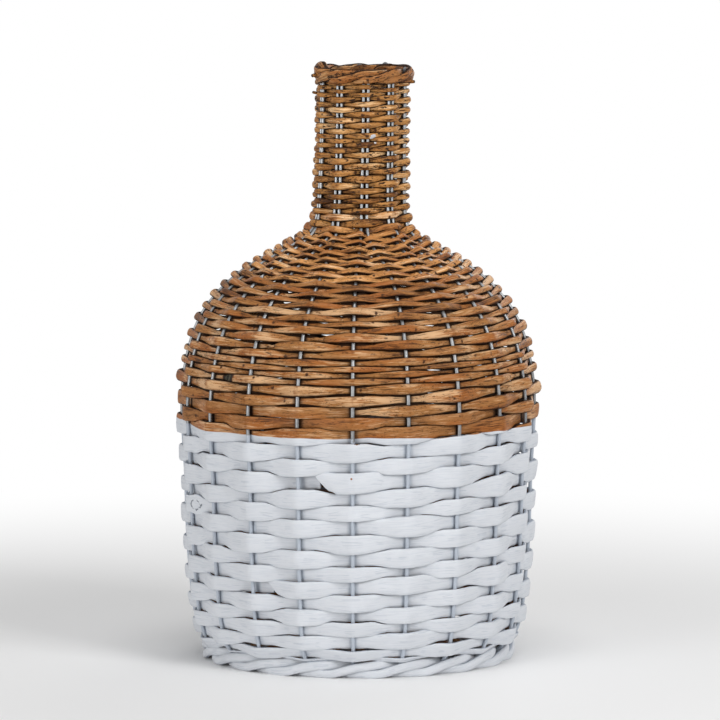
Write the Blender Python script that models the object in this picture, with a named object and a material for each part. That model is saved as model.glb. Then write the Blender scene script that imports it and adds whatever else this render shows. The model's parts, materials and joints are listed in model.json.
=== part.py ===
# Wicker bottle vase.
#
# Ten wires, each bent double like a hairpin, make the frame. Their twenty legs start as the
# spokes of the base, turn up at the foot, follow the wall as stakes 18 degrees apart, draw
# together in pairs on the shoulder and run up the neck, where each bend stands in the rim.
# Two willow rods at a time are woven round them, each over one stake and under the next, and
# the two rise together like a double thread. Three-rod wales finish the foot and the rim:
# each of their rods passes outside two stakes and inside one.
#
# Units are metres and radians. The vase stands on z = 0, and its front looks along -Y.

import bisect
import math

import bmesh
import bpy
from mathutils import Vector

# Sizes of the whole vase
HEIGHT = 0.508
FOOT_RADIUS = 0.1270
BELLY_RADIUS = 0.1490
NECK_RADIUS = 0.0370
SHOULDER_HEIGHT_share = 0.4783
NECK_HEIGHT_share = 0.7480
MOUTH_LEAN = 0.004

# Frame wires
WIRE_DIAMETER = 0.0025
PAIR_SPACING = 0.0040
SPREAD_RADIUS = 0.120
HAIRPINS = 10
FRONT_PAIR_ANGLE = math.radians(-82.7)
NECK_TWIST = math.radians(-3.0)
SPOKE_HEIGHT = 0.0050
FOOT_BEND_RADIUS = 0.0060
LONG_SPOKE_INNER_RADIUS = 0.0120
SHORT_SPOKE_INNER_RADIUS = 0.0480

# Weaving rods
WEAVE_CLEARANCE = 0.00045
ROW_GAP = 0.0007
SPLICE_GAP = 0.0012
THINNEST_TIP_share = 0.30
PAIR_CREST_OVERHANG = 0.0004
FACE_EDGE_share = 0.27
STEEPEST_PLAIN_share = 0.12
WELD_DISTANCE = 0.00001

# Wale rods at the foot and the rim
FOOT_ROD_DIAMETER = 0.0060
RIM_ROD_DIAMETER = 0.0052
WALE_CLEARANCE = 0.0006
FOOT_UPPER_STRAND_BULGE = 0.0005
FOOT_FLAT_DEPTH = 0.0005
WALE_TO_ROWS_GAP = 0.0003
WALE_SIDES = 5

# The base
BASE_ROD_WIDTH = 0.0170
BASE_ROD_DEPTH_share = 0.19
BASE_ROW_GAP = 0.0010
BASE_EDGE_GAP = 0.0010
BASE_SPIRAL_START = 4

# The wall's outline, where the stakes run. Below the shoulder each point is a share of
# SHOULDER_HEIGHT and a share of the way from FOOT_RADIUS to BELLY_RADIUS. On the shoulder it is
# a share of the way up to NECK_HEIGHT and a share of the way from BELLY_RADIUS to NECK_RADIUS.
# On the neck it is a share of the neck's length and of NECK_RADIUS.
LOWER_WALL_shares = [
    (0.085, 0.38), (0.144, 0.57), (0.288, 0.77), (0.638, 0.95), (1.0, 1.0),
]
SHOULDER_shares = [
    (0.139, 0.031), (0.277, 0.081), (0.400, 0.154), (0.520, 0.268), (0.628, 0.412),
    (0.730, 0.605), (0.818, 0.797), (0.869, 0.897), (0.920, 0.953), (1.0, 0.980),
]
NECK_shares = [(0.17, 1.020), (0.46, 1.0), (1.0, 1.0)]

# Each wale rod's places, as shares of the way from the inner to the outer radius and from the
# lower to the upper height, halfway from one stake to the next: first where it runs from the
# lower to the upper outside place, then from there inside, then from inside back out.
FOOT_WALE_BETWEEN_shares = [(1.01, 0.02), (0.77, 1.25), (-0.10, 0.24)]
RIM_WALE_BETWEEN_shares = [(1.19, 0.45), (0.50, 1.03), (0.50, -0.03)]

# Rows of weave from the foot up, counted over both spirals: name, thickness as a share of the
# rod's width, whether its section has a flat outer face, the rows' widths as shares of one
# another, and the row at which each rod of the first and of the second spiral starts. On the
# last band the rods go round the close pairs of wires.
BANDS = [
    ("painted", 0.27, True,
     [0.71, 1.18, 1.17, 0.95, 1.31, 1.19, 1.35, 1.05, 1.45, 1.3, 1.38, 1.02, 1.5, 1.3, 1.15, 1.5],
     ((-1.0, 4.0, 8.3, 12.5), (-1.0, 5.4, 9.4, 13.4))),
    ("natural", 0.56, True,
     [1.0, 0.95, 0.95, 0.95, 0.7, 0.57, 0.48, 0.45, 0.7, 0.7, 0.75, 0.7, 0.55, 0.5, 0.65, 0.65,
      0.57, 0.53, 0.6],
     ((16.9, 18.9, 26.5, 30.7), (17.6, 21.4, 25.4, 31.4))),
    ("shoulder", 0.5, False,
     [0.6, 0.6, 0.55, 0.55, 0.55, 0.55, 0.55, 0.45, 0.45, 0.6, 0.6, 0.45, 0.47, 0.48],
     ((35.0, 42.0), (37.4, 44.4))),
    ("neck", 0.56, False,
     [0.6, 0.55, 0.6, 0.5, 0.45, 0.4, 0.4, 0.38, 0.52, 0.55, 0.55, 0.5, 0.5, 0.5, 0.45, 0.4, 0.4,
      0.38, 0.42, 0.45, 0.45, 0.5, 0.45, 0.4, 0.45, 0.4, 0.3, 0.3, 0.4],
     ((49.0, 58.7, 68.3), (52.4, 62.0, 71.7))),
]
SPIRAL_STARTS = (4, 14)

# Finishes: linear colour, roughness, metallic
WILLOW_BROWNS = [(0.33, 0.165, 0.075), (0.29, 0.14, 0.062), (0.37, 0.19, 0.088), (0.31, 0.15, 0.07)]
PAINT_WHITE = (0.66, 0.68, 0.71)
WIRE_GREY = (0.52, 0.53, 0.54)

SHOULDER_HEIGHT = SHOULDER_HEIGHT_share * HEIGHT
NECK_HEIGHT = NECK_HEIGHT_share * HEIGHT
LEGS = 2 * HAIRPINS
LEG_STEP = 2 * math.pi / LEGS
PAIR_STEP = 2 * math.pi / HAIRPINS
WIRE_RADIUS = WIRE_DIAMETER / 2


def lerp(a, b, share):
    return a + (b - a) * share


def clamped(share):
    return min(1.0, max(0.0, share))


class Outline:
    """A line in the (radius, height) plane, read by the length along it."""

    def __init__(self, points):
        self.points = [Vector(p) for p in points]
        self.lengths = [0.0]
        for a, b in zip(self.points, self.points[1:]):
            self.lengths.append(self.lengths[-1] + (b - a).length)
        runs = [(b - a).normalized() for a, b in zip(self.points, self.points[1:])]
        joints = [(a + b).normalized() for a, b in zip(runs, runs[1:])]
        self.directions = [runs[0]] + joints + [runs[-1]]

    def length_at_height(self, height):
        for i, (a, b) in enumerate(zip(self.points, self.points[1:])):
            if a.y <= height <= b.y:
                share = (height - a.y) / (b.y - a.y)
                return lerp(self.lengths[i], self.lengths[i + 1], share)
        return self.lengths[-1]

    def at(self, length):
        """(radius, height, normal) at this length; the normal points out of the vase."""
        length = min(max(length, 0.0), self.lengths[-1])
        i = min(bisect.bisect_right(self.lengths, length), len(self.lengths) - 1) - 1
        share = (length - self.lengths[i]) / (self.lengths[i + 1] - self.lengths[i])
        point = self.points[i].lerp(self.points[i + 1], share)
        along = self.directions[i].lerp(self.directions[i + 1], share).normalized()
        return point.x, point.y, Vector((along.y, -along.x))


def wall_points():
    """The stakes' outline from the top of the foot bend to the hairpin's bend."""
    points = [(FOOT_RADIUS, SPOKE_HEIGHT + FOOT_BEND_RADIUS)]
    for up, out in LOWER_WALL_shares:
        points.append((lerp(FOOT_RADIUS, BELLY_RADIUS, out), up * SHOULDER_HEIGHT))
    for up, inward in SHOULDER_shares:
        height = lerp(SHOULDER_HEIGHT, NECK_HEIGHT, up)
        points.append((lerp(BELLY_RADIUS, NECK_RADIUS, inward), height))
    bend_height = HEIGHT - WIRE_RADIUS - PAIR_SPACING / 2
    for up, out in NECK_shares:
        points.append((out * NECK_RADIUS, lerp(NECK_HEIGHT, bend_height, up)))
    return points


WALL = Outline(wall_points())


def lean(height):
    """How far the vase's axis has moved to +X at this height."""
    rise = clamped((height - SHOULDER_HEIGHT) / (HEIGHT - SHOULDER_HEIGHT))
    return MOUTH_LEAN * rise * rise * (3 - 2 * rise)


def placed(radius, angle, height):
    return Vector((radius * math.cos(angle) + lean(height), radius * math.sin(angle), height))


def pair_angle(pair, radius, height):
    """Where a pair of legs is centred; the neck is a little twisted on the body."""
    spread = clamped((radius - NECK_RADIUS) / (SPREAD_RADIUS - NECK_RADIUS))
    twist = NECK_TWIST * (1 - spread) if height > SHOULDER_HEIGHT else 0.0
    return FRONT_PAIR_ANGLE + pair * PAIR_STEP + twist


def leg_angle(leg, radius, height):
    side = 1 if leg % 2 else -1
    half = LEG_STEP / 2
    if height > SHOULDER_HEIGHT:
        spread = clamped((radius - NECK_RADIUS) / (SPREAD_RADIUS - NECK_RADIUS))
        half = lerp(math.asin(PAIR_SPACING / 2 / NECK_RADIUS), half, spread)
    return pair_angle(leg // 2, radius, height) + side * half


def collection(name, hidden=False):
    made = bpy.data.collections.new(name)
    bpy.context.scene.collection.children.link(made)
    made.hide_render = hidden
    return made


def finish(name, colour, roughness, metallic=0.0):
    material = bpy.data.materials.new(name)
    material.use_nodes = True
    shader = material.node_tree.nodes["Principled BSDF"]
    shader.inputs["Base Color"].default_value = (*colour, 1.0)
    shader.inputs["Roughness"].default_value = roughness
    shader.inputs["Metallic"].default_value = metallic
    return material


def section(name, corners, guides):
    """A closed flat outline that a rod's curve carries along its path, run clockwise."""
    curve = bpy.data.curves.new(name, "CURVE")
    curve.dimensions = "2D"
    spline = curve.splines.new("POLY")
    spline.points.add(len(corners) - 1)
    for point, (x, y) in zip(spline.points, corners):
        point.co = (x, y, 0.0, 1.0)
    spline.use_cyclic_u = True
    obj = bpy.data.objects.new(name, curve)
    obj.hide_render = True
    obj.display_type = "WIRE"
    guides.objects.link(obj)
    return obj


def swept(name, path, shape, material, parts, twist="Z_UP"):
    """A capped tube of the given section along (point, scale, tilt) stations."""
    curve = bpy.data.curves.new(name, "CURVE")
    curve.dimensions = "3D"
    curve.twist_mode = twist
    curve.bevel_mode = "OBJECT"
    curve.bevel_object = shape
    curve.use_fill_caps = True
    spline = curve.splines.new("POLY")
    spline.points.add(len(path) - 1)
    for point, (place, scale, tilt) in zip(spline.points, path):
        point.co = (*place, 1.0)
        point.radius = scale
        point.tilt = tilt
    spline.use_smooth = True
    curve.materials.append(material)
    obj = bpy.data.objects.new(name, curve)
    parts.objects.link(obj)
    return obj


def polygon(sides, radius, turn=0.0):
    return [
        (radius * math.cos(turn - 2 * math.pi * i / sides), radius * math.sin(turn - 2 * math.pi * i / sides))
        for i in range(sides)
    ]


# Frame wires


def leg_path(leg):
    """From the spoke's inner end, out, round the foot bend and up the wall."""
    inner = SHORT_SPOKE_INNER_RADIUS if leg % 2 else LONG_SPOKE_INNER_RADIUS
    bend_centre = FOOT_RADIUS - FOOT_BEND_RADIUS
    outline = [(inner, SPOKE_HEIGHT)]
    for turned in (0, math.pi / 4):
        outline.append((
            bend_centre + FOOT_BEND_RADIUS * math.sin(turned),
            SPOKE_HEIGHT + FOOT_BEND_RADIUS * (1 - math.cos(turned)),
        ))
    outline += [(p.x, p.y) for p in WALL.points]
    return [placed(r, leg_angle(leg, r, z), z) for r, z in outline]


def hairpin_bend(pair):
    """The half ring that joins the two legs, between their top points."""
    base = WALL.points[-1]
    angle = pair_angle(pair, base.x, base.y)
    centre = placed(base.x, angle, base.y)
    across = Vector((-math.sin(angle), math.cos(angle), 0.0))
    half = PAIR_SPACING / 2
    return [
        centre + half * math.cos(turned) * -across + Vector((0, 0, half * math.sin(turned)))
        for turned in (math.pi / 4, math.pi / 2, 3 * math.pi / 4)
    ]


def make_frame_wires(parts, guides):
    shape = section("wire_section", polygon(3, WIRE_RADIUS), guides)
    for pair in range(HAIRPINS):
        points = leg_path(2 * pair) + hairpin_bend(pair) + leg_path(2 * pair + 1)[::-1]
        path = [(p, 1.0, 0.0) for p in points]
        material = finish(f"galvanised_wire_{pair + 1:02d}", WIRE_GREY, 0.4, 0.85)
        swept(f"frame_wire_{pair + 1:02d}", path, shape, material, parts, "MINIMUM")


# Wales: three rods, each outside two stakes and inside the next


FOOT_LOW = FOOT_ROD_DIAMETER / 2 - FOOT_FLAT_DEPTH
FOOT_HIGH = FOOT_LOW + FOOT_ROD_DIAMETER + WALE_CLEARANCE
FOOT_INSIDE = SPOKE_HEIGHT + FOOT_BEND_RADIUS
ROWS_START = FOOT_INSIDE + FOOT_ROD_DIAMETER / 2 + WALE_TO_ROWS_GAP
RIM_HIGH = HEIGHT - WIRE_DIAMETER - RIM_ROD_DIAMETER / 2
RIM_LOW = RIM_HIGH - RIM_ROD_DIAMETER - WALE_CLEARANCE
ROWS_END = RIM_LOW - RIM_ROD_DIAMETER / 2 - WALE_TO_ROWS_GAP


def foot_leg_angle(leg):
    return leg_angle(leg, FOOT_RADIUS, 0.0)


def top_pair_angle(pair):
    return pair_angle(pair, NECK_RADIUS, HEIGHT)


def wale_path(rod, count, angle_at, at_stake, between, reach):
    """One rod of a wale, from the stake behind which it starts to the start of the next one.

    at_stake holds the lower outside, upper outside and inside places as (radius, height), and
    between holds the places halfway to the next stake.
    """
    start = (2 - rod) % 3
    stop = count + (2 - (rod + count)) % 3
    path = []
    for station in range(start, stop + 1):
        phase = (station + rod) % 3
        radius, height = at_stake[phase]
        turns = [-reach / radius, reach / radius] if reach else [0.0]
        if station == start:
            turns = turns[-1:]
        elif station == stop:
            turns = turns[:1]
        path += [(placed(radius, angle_at(station) + turn, height), 1.0, 0.0) for turn in turns]
        if station < stop:
            radius, height = between[phase]
            middle = (angle_at(station) + angle_at(station + 1)) / 2
            path.append((placed(radius, middle, height), 1.0, 0.0))
    return drawn_back(path)


def between_places(shares, inner, outer, low, high):
    return [(lerp(inner, outer, out), lerp(low, high, up)) for out, up in shares]


def as_mesh(curve, parts):
    """The curve object turned into a mesh object of the same name, its caps welded on."""
    bpy.context.view_layer.update()
    made = bpy.data.meshes.new_from_object(curve.evaluated_get(bpy.context.evaluated_depsgraph_get()))
    welded = bmesh.new()
    welded.from_mesh(made)
    bmesh.ops.remove_doubles(welded, verts=welded.verts, dist=WELD_DISTANCE)
    welded.to_mesh(made)
    welded.free()
    name, place = curve.name, curve.matrix_world.copy()
    bpy.data.objects.remove(curve)
    obj = bpy.data.objects.new(name, made)
    obj.matrix_world = place
    parts.objects.link(obj)
    return obj


def make_floor_cutter(guides):
    """Everything below the floor, to cut the lowest rods' resting faces with."""
    radius = FOOT_RADIUS + 2 * FOOT_ROD_DIAMETER
    bpy.ops.mesh.primitive_cylinder_add(
        vertices=LEGS, radius=radius, depth=FOOT_ROD_DIAMETER, location=(0.0, 0.0, -FOOT_ROD_DIAMETER / 2)
    )
    cutter = bpy.context.object
    cutter.name = "below_floor"
    cutter.hide_render = True
    cutter.display_type = "WIRE"
    for owner in list(cutter.users_collection):
        owner.objects.unlink(cutter)
    guides.objects.link(cutter)
    return cutter


def make_foot(parts, guides):
    rod = FOOT_ROD_DIAMETER / 2
    shape = section("foot_rod_section", polygon(WALE_SIDES, rod, -math.pi / 2), guides)
    reach = WIRE_RADIUS + WEAVE_CLEARANCE + rod
    bend_centre = FOOT_RADIUS - FOOT_BEND_RADIUS
    low_reach = math.sqrt((FOOT_BEND_RADIUS + reach) ** 2 - (FOOT_INSIDE - FOOT_LOW) ** 2)
    at_stake = [
        (bend_centre + low_reach, FOOT_LOW),
        (FOOT_RADIUS + reach + FOOT_UPPER_STRAND_BULGE, FOOT_HIGH),
        (FOOT_RADIUS - reach, FOOT_INSIDE),
    ]
    between = between_places(
        FOOT_WALE_BETWEEN_shares, FOOT_RADIUS - reach, FOOT_RADIUS + reach, FOOT_LOW, FOOT_HIGH
    )
    below = make_floor_cutter(guides)
    for i in range(3):
        path = wale_path(i, LEGS, foot_leg_angle, at_stake, between, 0.0)
        name = f"foot_rod_{i + 1}"
        curve = swept(name, path, shape, finish(f"willow_{name}", PAINT_WHITE, 0.55), parts)
        cut = as_mesh(curve, parts).modifiers.new("floor_flat", "BOOLEAN")
        cut.operation = "DIFFERENCE"
        cut.solver = "EXACT"
        cut.object = below


def make_rim(parts, guides):
    rod = RIM_ROD_DIAMETER / 2
    shape = section("rim_rod_section", polygon(WALE_SIDES, rod, -math.pi / 2), guides)
    reach = WIRE_RADIUS + WEAVE_CLEARANCE + rod
    inner, outer = NECK_RADIUS - reach, NECK_RADIUS + reach
    at_stake = [(outer, RIM_LOW), (outer, RIM_HIGH), (inner, (RIM_LOW + RIM_HIGH) / 2)]
    between = between_places(RIM_WALE_BETWEEN_shares, inner, outer, RIM_LOW, RIM_HIGH)
    across = PAIR_SPACING / 2 + PAIR_CREST_OVERHANG
    for i in range(3):
        path = wale_path(i, HAIRPINS, top_pair_angle, at_stake, between, across)
        name = f"rim_rod_{i + 1}"
        brown = WILLOW_BROWNS[i % len(WILLOW_BROWNS)]
        swept(name, path, shape, finish(f"willow_{name}", brown, 0.55), parts)


# Rods woven round the stakes of the wall


def row_edges():
    """Lengths along the wall at which each row starts, and where the last one ends."""
    low = WALL.length_at_height(ROWS_START)
    high = WALL.length_at_height(ROWS_END)
    shares = [share for band in BANDS for share in band[3]]
    unit = (high - low) / sum(shares)
    edges = [low]
    for share in shares:
        edges.append(edges[-1] + share * unit)
    return edges


def edge_at(edges, row):
    row = min(max(row, 0.0), len(edges) - 1.0)
    i = min(int(row), len(edges) - 2)
    return lerp(edges[i], edges[i + 1], row - i)


def rod_width(edges, row):
    return edge_at(edges, row + 1) - edge_at(edges, row) - ROW_GAP


def stations(start, rows, paired_row):
    """Stakes that one spiral meets, in order: (stake or pair, row, whether a pair)."""
    met = []
    stake = start
    while True:
        row = (stake - start) / HAIRPINS - 1
        if row >= paired_row and stake % 4 == 0:
            break
        met.append((stake, row, False))
        stake += 1
    pair = stake // 2
    while True:
        row = (2 * pair + 1 / 2 - start) / HAIRPINS - 1
        if row > rows:
            return met
        met.append((pair, row, True))
        pair += 1


def weave_offset(radius, height, depth, paired):
    """How far a rod's centre stands off the stakes; a rod that crosses steeply stands further."""
    straight = WIRE_RADIUS + WEAVE_CLEARANCE + depth / 2
    if paired:
        return straight
    step = leg_angle(1, radius, height) - leg_angle(0, radius, height)
    fall = 2 * straight + radius * (1 - math.cos(step))
    steepness = math.atan2(fall, radius * math.sin(step))
    return (WIRE_RADIUS + WEAVE_CLEARANCE) / math.cos(steepness) + depth / 2


def rod_station(edges, station, thickness, rod_end):
    """Points of a rod at one stake or pair, each (place, width, tilt).

    Where the wall is upright, a rod that bends over one stake and the next but one already
    passes inside the stake between them, so it needs no point there but at its ends.
    """
    stake, row, paired, outside = station
    width = rod_width(edges, row)
    length = (edge_at(edges, row) + edge_at(edges, row + 1)) / 2
    radius, height, normal = WALL.at(length)
    offset = weave_offset(radius, height, thickness * width, paired)
    tilt = -math.atan2(normal.y, normal.x)
    step = PAIR_STEP if paired else LEG_STEP
    angle = pair_angle(stake, radius, height) if paired else leg_angle(stake, radius, height)
    crest = math.asin((PAIR_SPACING / 2 + PAIR_CREST_OVERHANG) / radius) if paired else 0.0
    evenly_spaced = paired or height < SHOULDER_HEIGHT or radius > SPREAD_RADIUS
    upright = evenly_spaced and abs(normal.y) < STEEPEST_PLAIN_share
    if not outside:
        straight_run = (radius + offset) * math.cos(step - crest)
        if upright and straight_run <= radius - offset:
            if not rod_end:
                return []
            offset = radius - straight_run
        offset = -offset
        crest = 0.0
    turns = [-crest, crest] if crest else [0.0]
    at_radius = radius + offset * normal.x
    at_height = height + offset * normal.y
    return [(placed(at_radius, angle + turn, at_height), width, tilt) for turn in turns]


def drawn_back(path):
    """The path with each end pulled in by half the gap to the next rod."""
    half = SPLICE_GAP / 2
    ends = []
    for end, inner in ((path[0], path[1]), (path[-1], path[-2])):
        toward = (inner[0] - end[0]).normalized()
        ends.append((end[0] + toward * half, end[1], end[2]))
    return [ends[0]] + path[1:-1] + [ends[1]]


def rod_ends(spiral, rows):
    """Each rod of a spiral: (band, the row at which it ends)."""
    bands = [band for band in BANDS for _ in band[4][spiral]]
    starts = [start for band in BANDS for start in band[4][spiral]]
    return list(zip(bands, starts[1:] + [rows]))


def rod_section(name, thickness, flat_faced, guides):
    """A section one unit wide, its outer side to +X: a flat-faced strip or a lozenge."""
    out, edge = thickness / 2, FACE_EDGE_share
    if flat_faced:
        corners = [(out, edge), (out, -edge), (-out, -1 / 2), (-out, 1 / 2)]
    else:
        corners = [(out, 0.0), (0.0, -1 / 2), (-out, 0.0), (0.0, 1 / 2)]
    return section(f"{name}_rod_section", corners, guides)


def make_wall_rods(parts, guides):
    edges = row_edges()
    shapes = {band[0]: rod_section(*band[:3], guides) for band in BANDS}
    rows = len(edges) - 1
    thinnest = THINNEST_TIP_share * (edges[-1] - edges[0]) / rows
    paired_row = rows - len(BANDS[-1][3])
    numbers = dict.fromkeys(shapes, 0)
    for spiral, start in enumerate(SPIRAL_STARTS):
        met = [
            (stake, row, paired, (stake + spiral) % 2 == 0)
            for stake, row, paired in stations(start, rows, paired_row)
            if rod_width(edges, row) > thinnest
        ]
        begin = 0
        for band, last in rod_ends(spiral, rows):
            name, thickness = band[:2]
            behind = [i for i, station in enumerate(met) if station[1] >= last and not station[3]]
            end = behind[0] if behind else len(met) - 1
            path = []
            for i in range(begin, end + 1):
                path += rod_station(edges, met[i], thickness, i in (begin, end))
            begin = end
            numbers[name] += 1
            label = f"{name}_rod_{numbers[name]:02d}"
            brown = WILLOW_BROWNS[numbers[name] % len(WILLOW_BROWNS)]
            colour = PAINT_WHITE if name == "painted" else brown
            swept(label, drawn_back(path), shapes[name], finish(f"willow_{label}", colour, 0.55), parts)


# The base, woven flat on the spokes


def base_rod_path(spiral):
    """A rod that winds outwards over and under the spokes, from the eye to the foot's wale."""
    depth = BASE_ROD_DEPTH_share * BASE_ROD_WIDTH
    offset = WIRE_RADIUS + WEAVE_CLEARANCE + depth / 2
    first = LONG_SPOKE_INNER_RADIUS + BASE_ROD_WIDTH / 2
    last = FOOT_RADIUS - FOOT_BEND_RADIUS - BASE_EDGE_GAP - BASE_ROD_WIDTH / 2
    path = []
    leg = BASE_SPIRAL_START + spiral * HAIRPINS
    begin = leg
    while True:
        radius = first + BASE_ROD_WIDTH * (leg - begin) / HAIRPINS
        if radius > last:
            return path
        single = radius > SHORT_SPOKE_INNER_RADIUS - BASE_ROD_WIDTH / 2
        if single or leg % 2 == 0:
            below = (leg + spiral) % 2 == 0 if single else (leg // 2 + spiral) % 2 == 0
            height = SPOKE_HEIGHT + (-offset if below else offset)
            place = placed(radius, leg_angle(leg, radius, 0.0), height)
            path.append((place, BASE_ROD_WIDTH - BASE_ROW_GAP, math.pi / 2))
        leg += 1


def make_base(parts, guides):
    shape = rod_section("base", BASE_ROD_DEPTH_share, False, guides)
    for spiral in range(2):
        name = f"base_rod_{spiral + 1}"
        material = finish(f"willow_{name}", PAINT_WHITE, 0.6)
        swept(name, base_rod_path(spiral), shape, material, parts)


def main():
    for obj in list(bpy.data.objects):
        bpy.data.objects.remove(obj)
    parts = collection("wicker_bottle_vase")
    guides = collection("guides", hidden=True)
    make_frame_wires(parts, guides)
    make_base(parts, guides)
    make_foot(parts, guides)
    make_wall_rods(parts, guides)
    make_rim(parts, guides)


main()
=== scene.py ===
# %% [markdown]
# # A wicker bottle vase
# The vase is a basket: ten steel wires bent double like hairpins stand as a cage, and willow rods
# are woven round them, two at a time, from the foot to the rim. The lower half was dipped in
# white paint after the weaving.
#
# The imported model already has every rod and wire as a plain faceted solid. This notebook keeps
# their places and lays a finished piece over each one.

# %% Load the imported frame
import json
import math
import random
from collections import namedtuple

import bpy
import numpy as np
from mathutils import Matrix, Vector

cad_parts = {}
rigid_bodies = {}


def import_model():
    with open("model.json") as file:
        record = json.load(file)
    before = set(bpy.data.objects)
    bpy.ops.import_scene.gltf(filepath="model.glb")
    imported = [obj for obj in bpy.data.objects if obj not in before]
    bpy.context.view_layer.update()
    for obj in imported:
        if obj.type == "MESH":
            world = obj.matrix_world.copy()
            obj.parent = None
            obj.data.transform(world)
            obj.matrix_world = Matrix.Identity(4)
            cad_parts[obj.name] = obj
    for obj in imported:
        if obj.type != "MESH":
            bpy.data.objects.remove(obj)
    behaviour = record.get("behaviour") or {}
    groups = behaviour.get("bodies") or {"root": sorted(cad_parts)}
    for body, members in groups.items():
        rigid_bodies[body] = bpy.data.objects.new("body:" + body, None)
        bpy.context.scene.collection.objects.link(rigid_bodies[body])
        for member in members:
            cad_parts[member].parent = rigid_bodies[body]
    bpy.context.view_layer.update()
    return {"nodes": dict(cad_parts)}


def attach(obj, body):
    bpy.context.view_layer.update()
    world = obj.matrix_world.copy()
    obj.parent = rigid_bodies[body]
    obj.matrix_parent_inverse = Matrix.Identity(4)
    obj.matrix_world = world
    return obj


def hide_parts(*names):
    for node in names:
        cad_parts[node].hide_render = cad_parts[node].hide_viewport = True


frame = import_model()
print("solids in the frame:", len(frame["nodes"]))

# %% [markdown]
# ## The sizes
# A basket maker starts from a few numbers: how tall and how wide the vase is, how thick the wire
# is, and how the wall curves in to the neck. They are the same numbers that the solids were made
# from, so each new piece lands where its solid is. One differs: going down the shoulder, the legs
# of a wire are fully apart from SPREAD_RADIUS on. In the solids that is from UPRIGHT_RADIUS on,
# a little lower down.

# %% Sizes of the vase, in metres
HEIGHT = 0.508
FOOT_RADIUS = 0.1270
BELLY_RADIUS = 0.1490
NECK_RADIUS = 0.0370
SHOULDER_HEIGHT = 0.4783 * HEIGHT
NECK_HEIGHT = 0.7480 * HEIGHT
MOUTH_LEAN = 0.004
WIRE_DIAMETER = 0.0025
WIRE_RADIUS = WIRE_DIAMETER / 2
PAIR_SPACING = 0.0040
SPREAD_RADIUS = 0.085
UPRIGHT_RADIUS = 0.120
HAIRPINS = 10
LEGS = 2 * HAIRPINS
LEG_STEP = math.tau / LEGS
PAIR_STEP = math.tau / HAIRPINS
FRONT_PAIR_ANGLE = math.radians(-82.7)
NECK_TWIST = math.radians(-3.0)
SPOKE_HEIGHT = 0.0050
FOOT_BEND_RADIUS = 0.0060
LONG_SPOKE_INNER_RADIUS = 0.0120
SHORT_SPOKE_INNER_RADIUS = 0.0480
print("height", HEIGHT, "widest", 2 * BELLY_RADIUS)

# %% Small helpers for numbers


def lerp(a, b, share):
    return a + (b - a) * share


def clamped(share):
    return min(1.0, max(0.0, share))


def eased(share):
    """A share from 0 to 1 that starts and stops softly."""
    return share * share * (3 - 2 * share)


def lengths_along(points):
    """How far along a chain of points each one lies."""
    return np.concatenate(([0.0], np.cumsum(np.linalg.norm(np.diff(points, axis=0), axis=1))))


def unit_rows(vectors):
    return vectors / np.linalg.norm(vectors, axis=1)[:, None]


def read_columns(at, known_at, columns):
    """Every column, known at some lengths, read at others."""
    return np.column_stack([np.interp(at, known_at, column) for column in columns.T])


print("a quarter of the way, eased:", eased(0.25))

# %% [markdown]
# ## The wall's outline
# Seen from the side, the wall is one smooth curve: out from the foot to the belly, in over the
# shoulder and straight up the neck. It could be drawn by hand as a curve with handles, but every
# wire and rod has to find its own place on it. So it is a short list of points, given as shares,
# and a smooth line through them that can be read at any length from the foot.

# %% The wall's outline as a smooth line
LOWER_WALL_SHARES = [(0.085, 0.38), (0.144, 0.57), (0.288, 0.77), (0.638, 0.95), (1.0, 1.0)]
SHOULDER_SHARES = [
    (0.139, 0.031), (0.277, 0.081), (0.400, 0.154), (0.520, 0.268), (0.628, 0.412),
    (0.730, 0.605), (0.818, 0.797), (0.869, 0.897), (0.920, 0.953), (1.0, 0.980),
]
NECK_SHARES = [(0.17, 1.020), (0.46, 1.0), (1.0, 1.0)]
WALL_SAMPLES = 1500


def wall_points():
    points = [(FOOT_RADIUS, SPOKE_HEIGHT + FOOT_BEND_RADIUS)]
    for up, out in LOWER_WALL_SHARES:
        points.append((lerp(FOOT_RADIUS, BELLY_RADIUS, out), up * SHOULDER_HEIGHT))
    for up, inward in SHOULDER_SHARES:
        height = lerp(SHOULDER_HEIGHT, NECK_HEIGHT, up)
        points.append((lerp(BELLY_RADIUS, NECK_RADIUS, inward), height))
    bend_height = HEIGHT - WIRE_RADIUS - PAIR_SPACING / 2
    for up, out in NECK_SHARES:
        points.append((out * NECK_RADIUS, lerp(NECK_HEIGHT, bend_height, up)))
    return np.array(points)


def smooth_line(knots, values, rates, at):
    """A smooth line through the values, read at the given lengths."""
    i = np.clip(np.searchsorted(knots, at, side="right") - 1, 0, len(knots) - 2)
    span = (knots[i + 1] - knots[i])[:, None]
    t = (at - knots[i])[:, None] / span
    start = (2 * t**3 - 3 * t**2 + 1) * values[i] + (t**3 - 2 * t**2 + t) * span * rates[i]
    end = (3 * t**2 - 2 * t**3) * values[i + 1] + (t**3 - t**2) * span * rates[i + 1]
    return start + end


wall = wall_points()
wall_knots = lengths_along(wall)
fine_lengths = np.linspace(0.0, wall_knots[-1], WALL_SAMPLES)
fine_wall = smooth_line(wall_knots, wall, np.gradient(wall, wall_knots, axis=0), fine_lengths)
fine_runs = unit_rows(np.gradient(fine_wall, axis=0))


def wall_at(length):
    """(radius, height, normal's outward part, normal's upward part) at a length up the wall."""
    radius, height = (np.interp(length, fine_lengths, fine_wall[:, i]) for i in (0, 1))
    out, up = (np.interp(length, fine_lengths, fine_runs[:, i]) for i in (1, 0))
    size = math.hypot(out, up)
    return float(radius), float(height), float(out / size), float(-up / size)


print("length of the wall:", round(float(wall_knots[-1]), 4))

# %% Where the wires run round the vase


def lean(height):
    """How far the neck leans to the right at a height."""
    return MOUTH_LEAN * eased(clamped((height - SHOULDER_HEIGHT) / (HEIGHT - SHOULDER_HEIGHT)))


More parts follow.
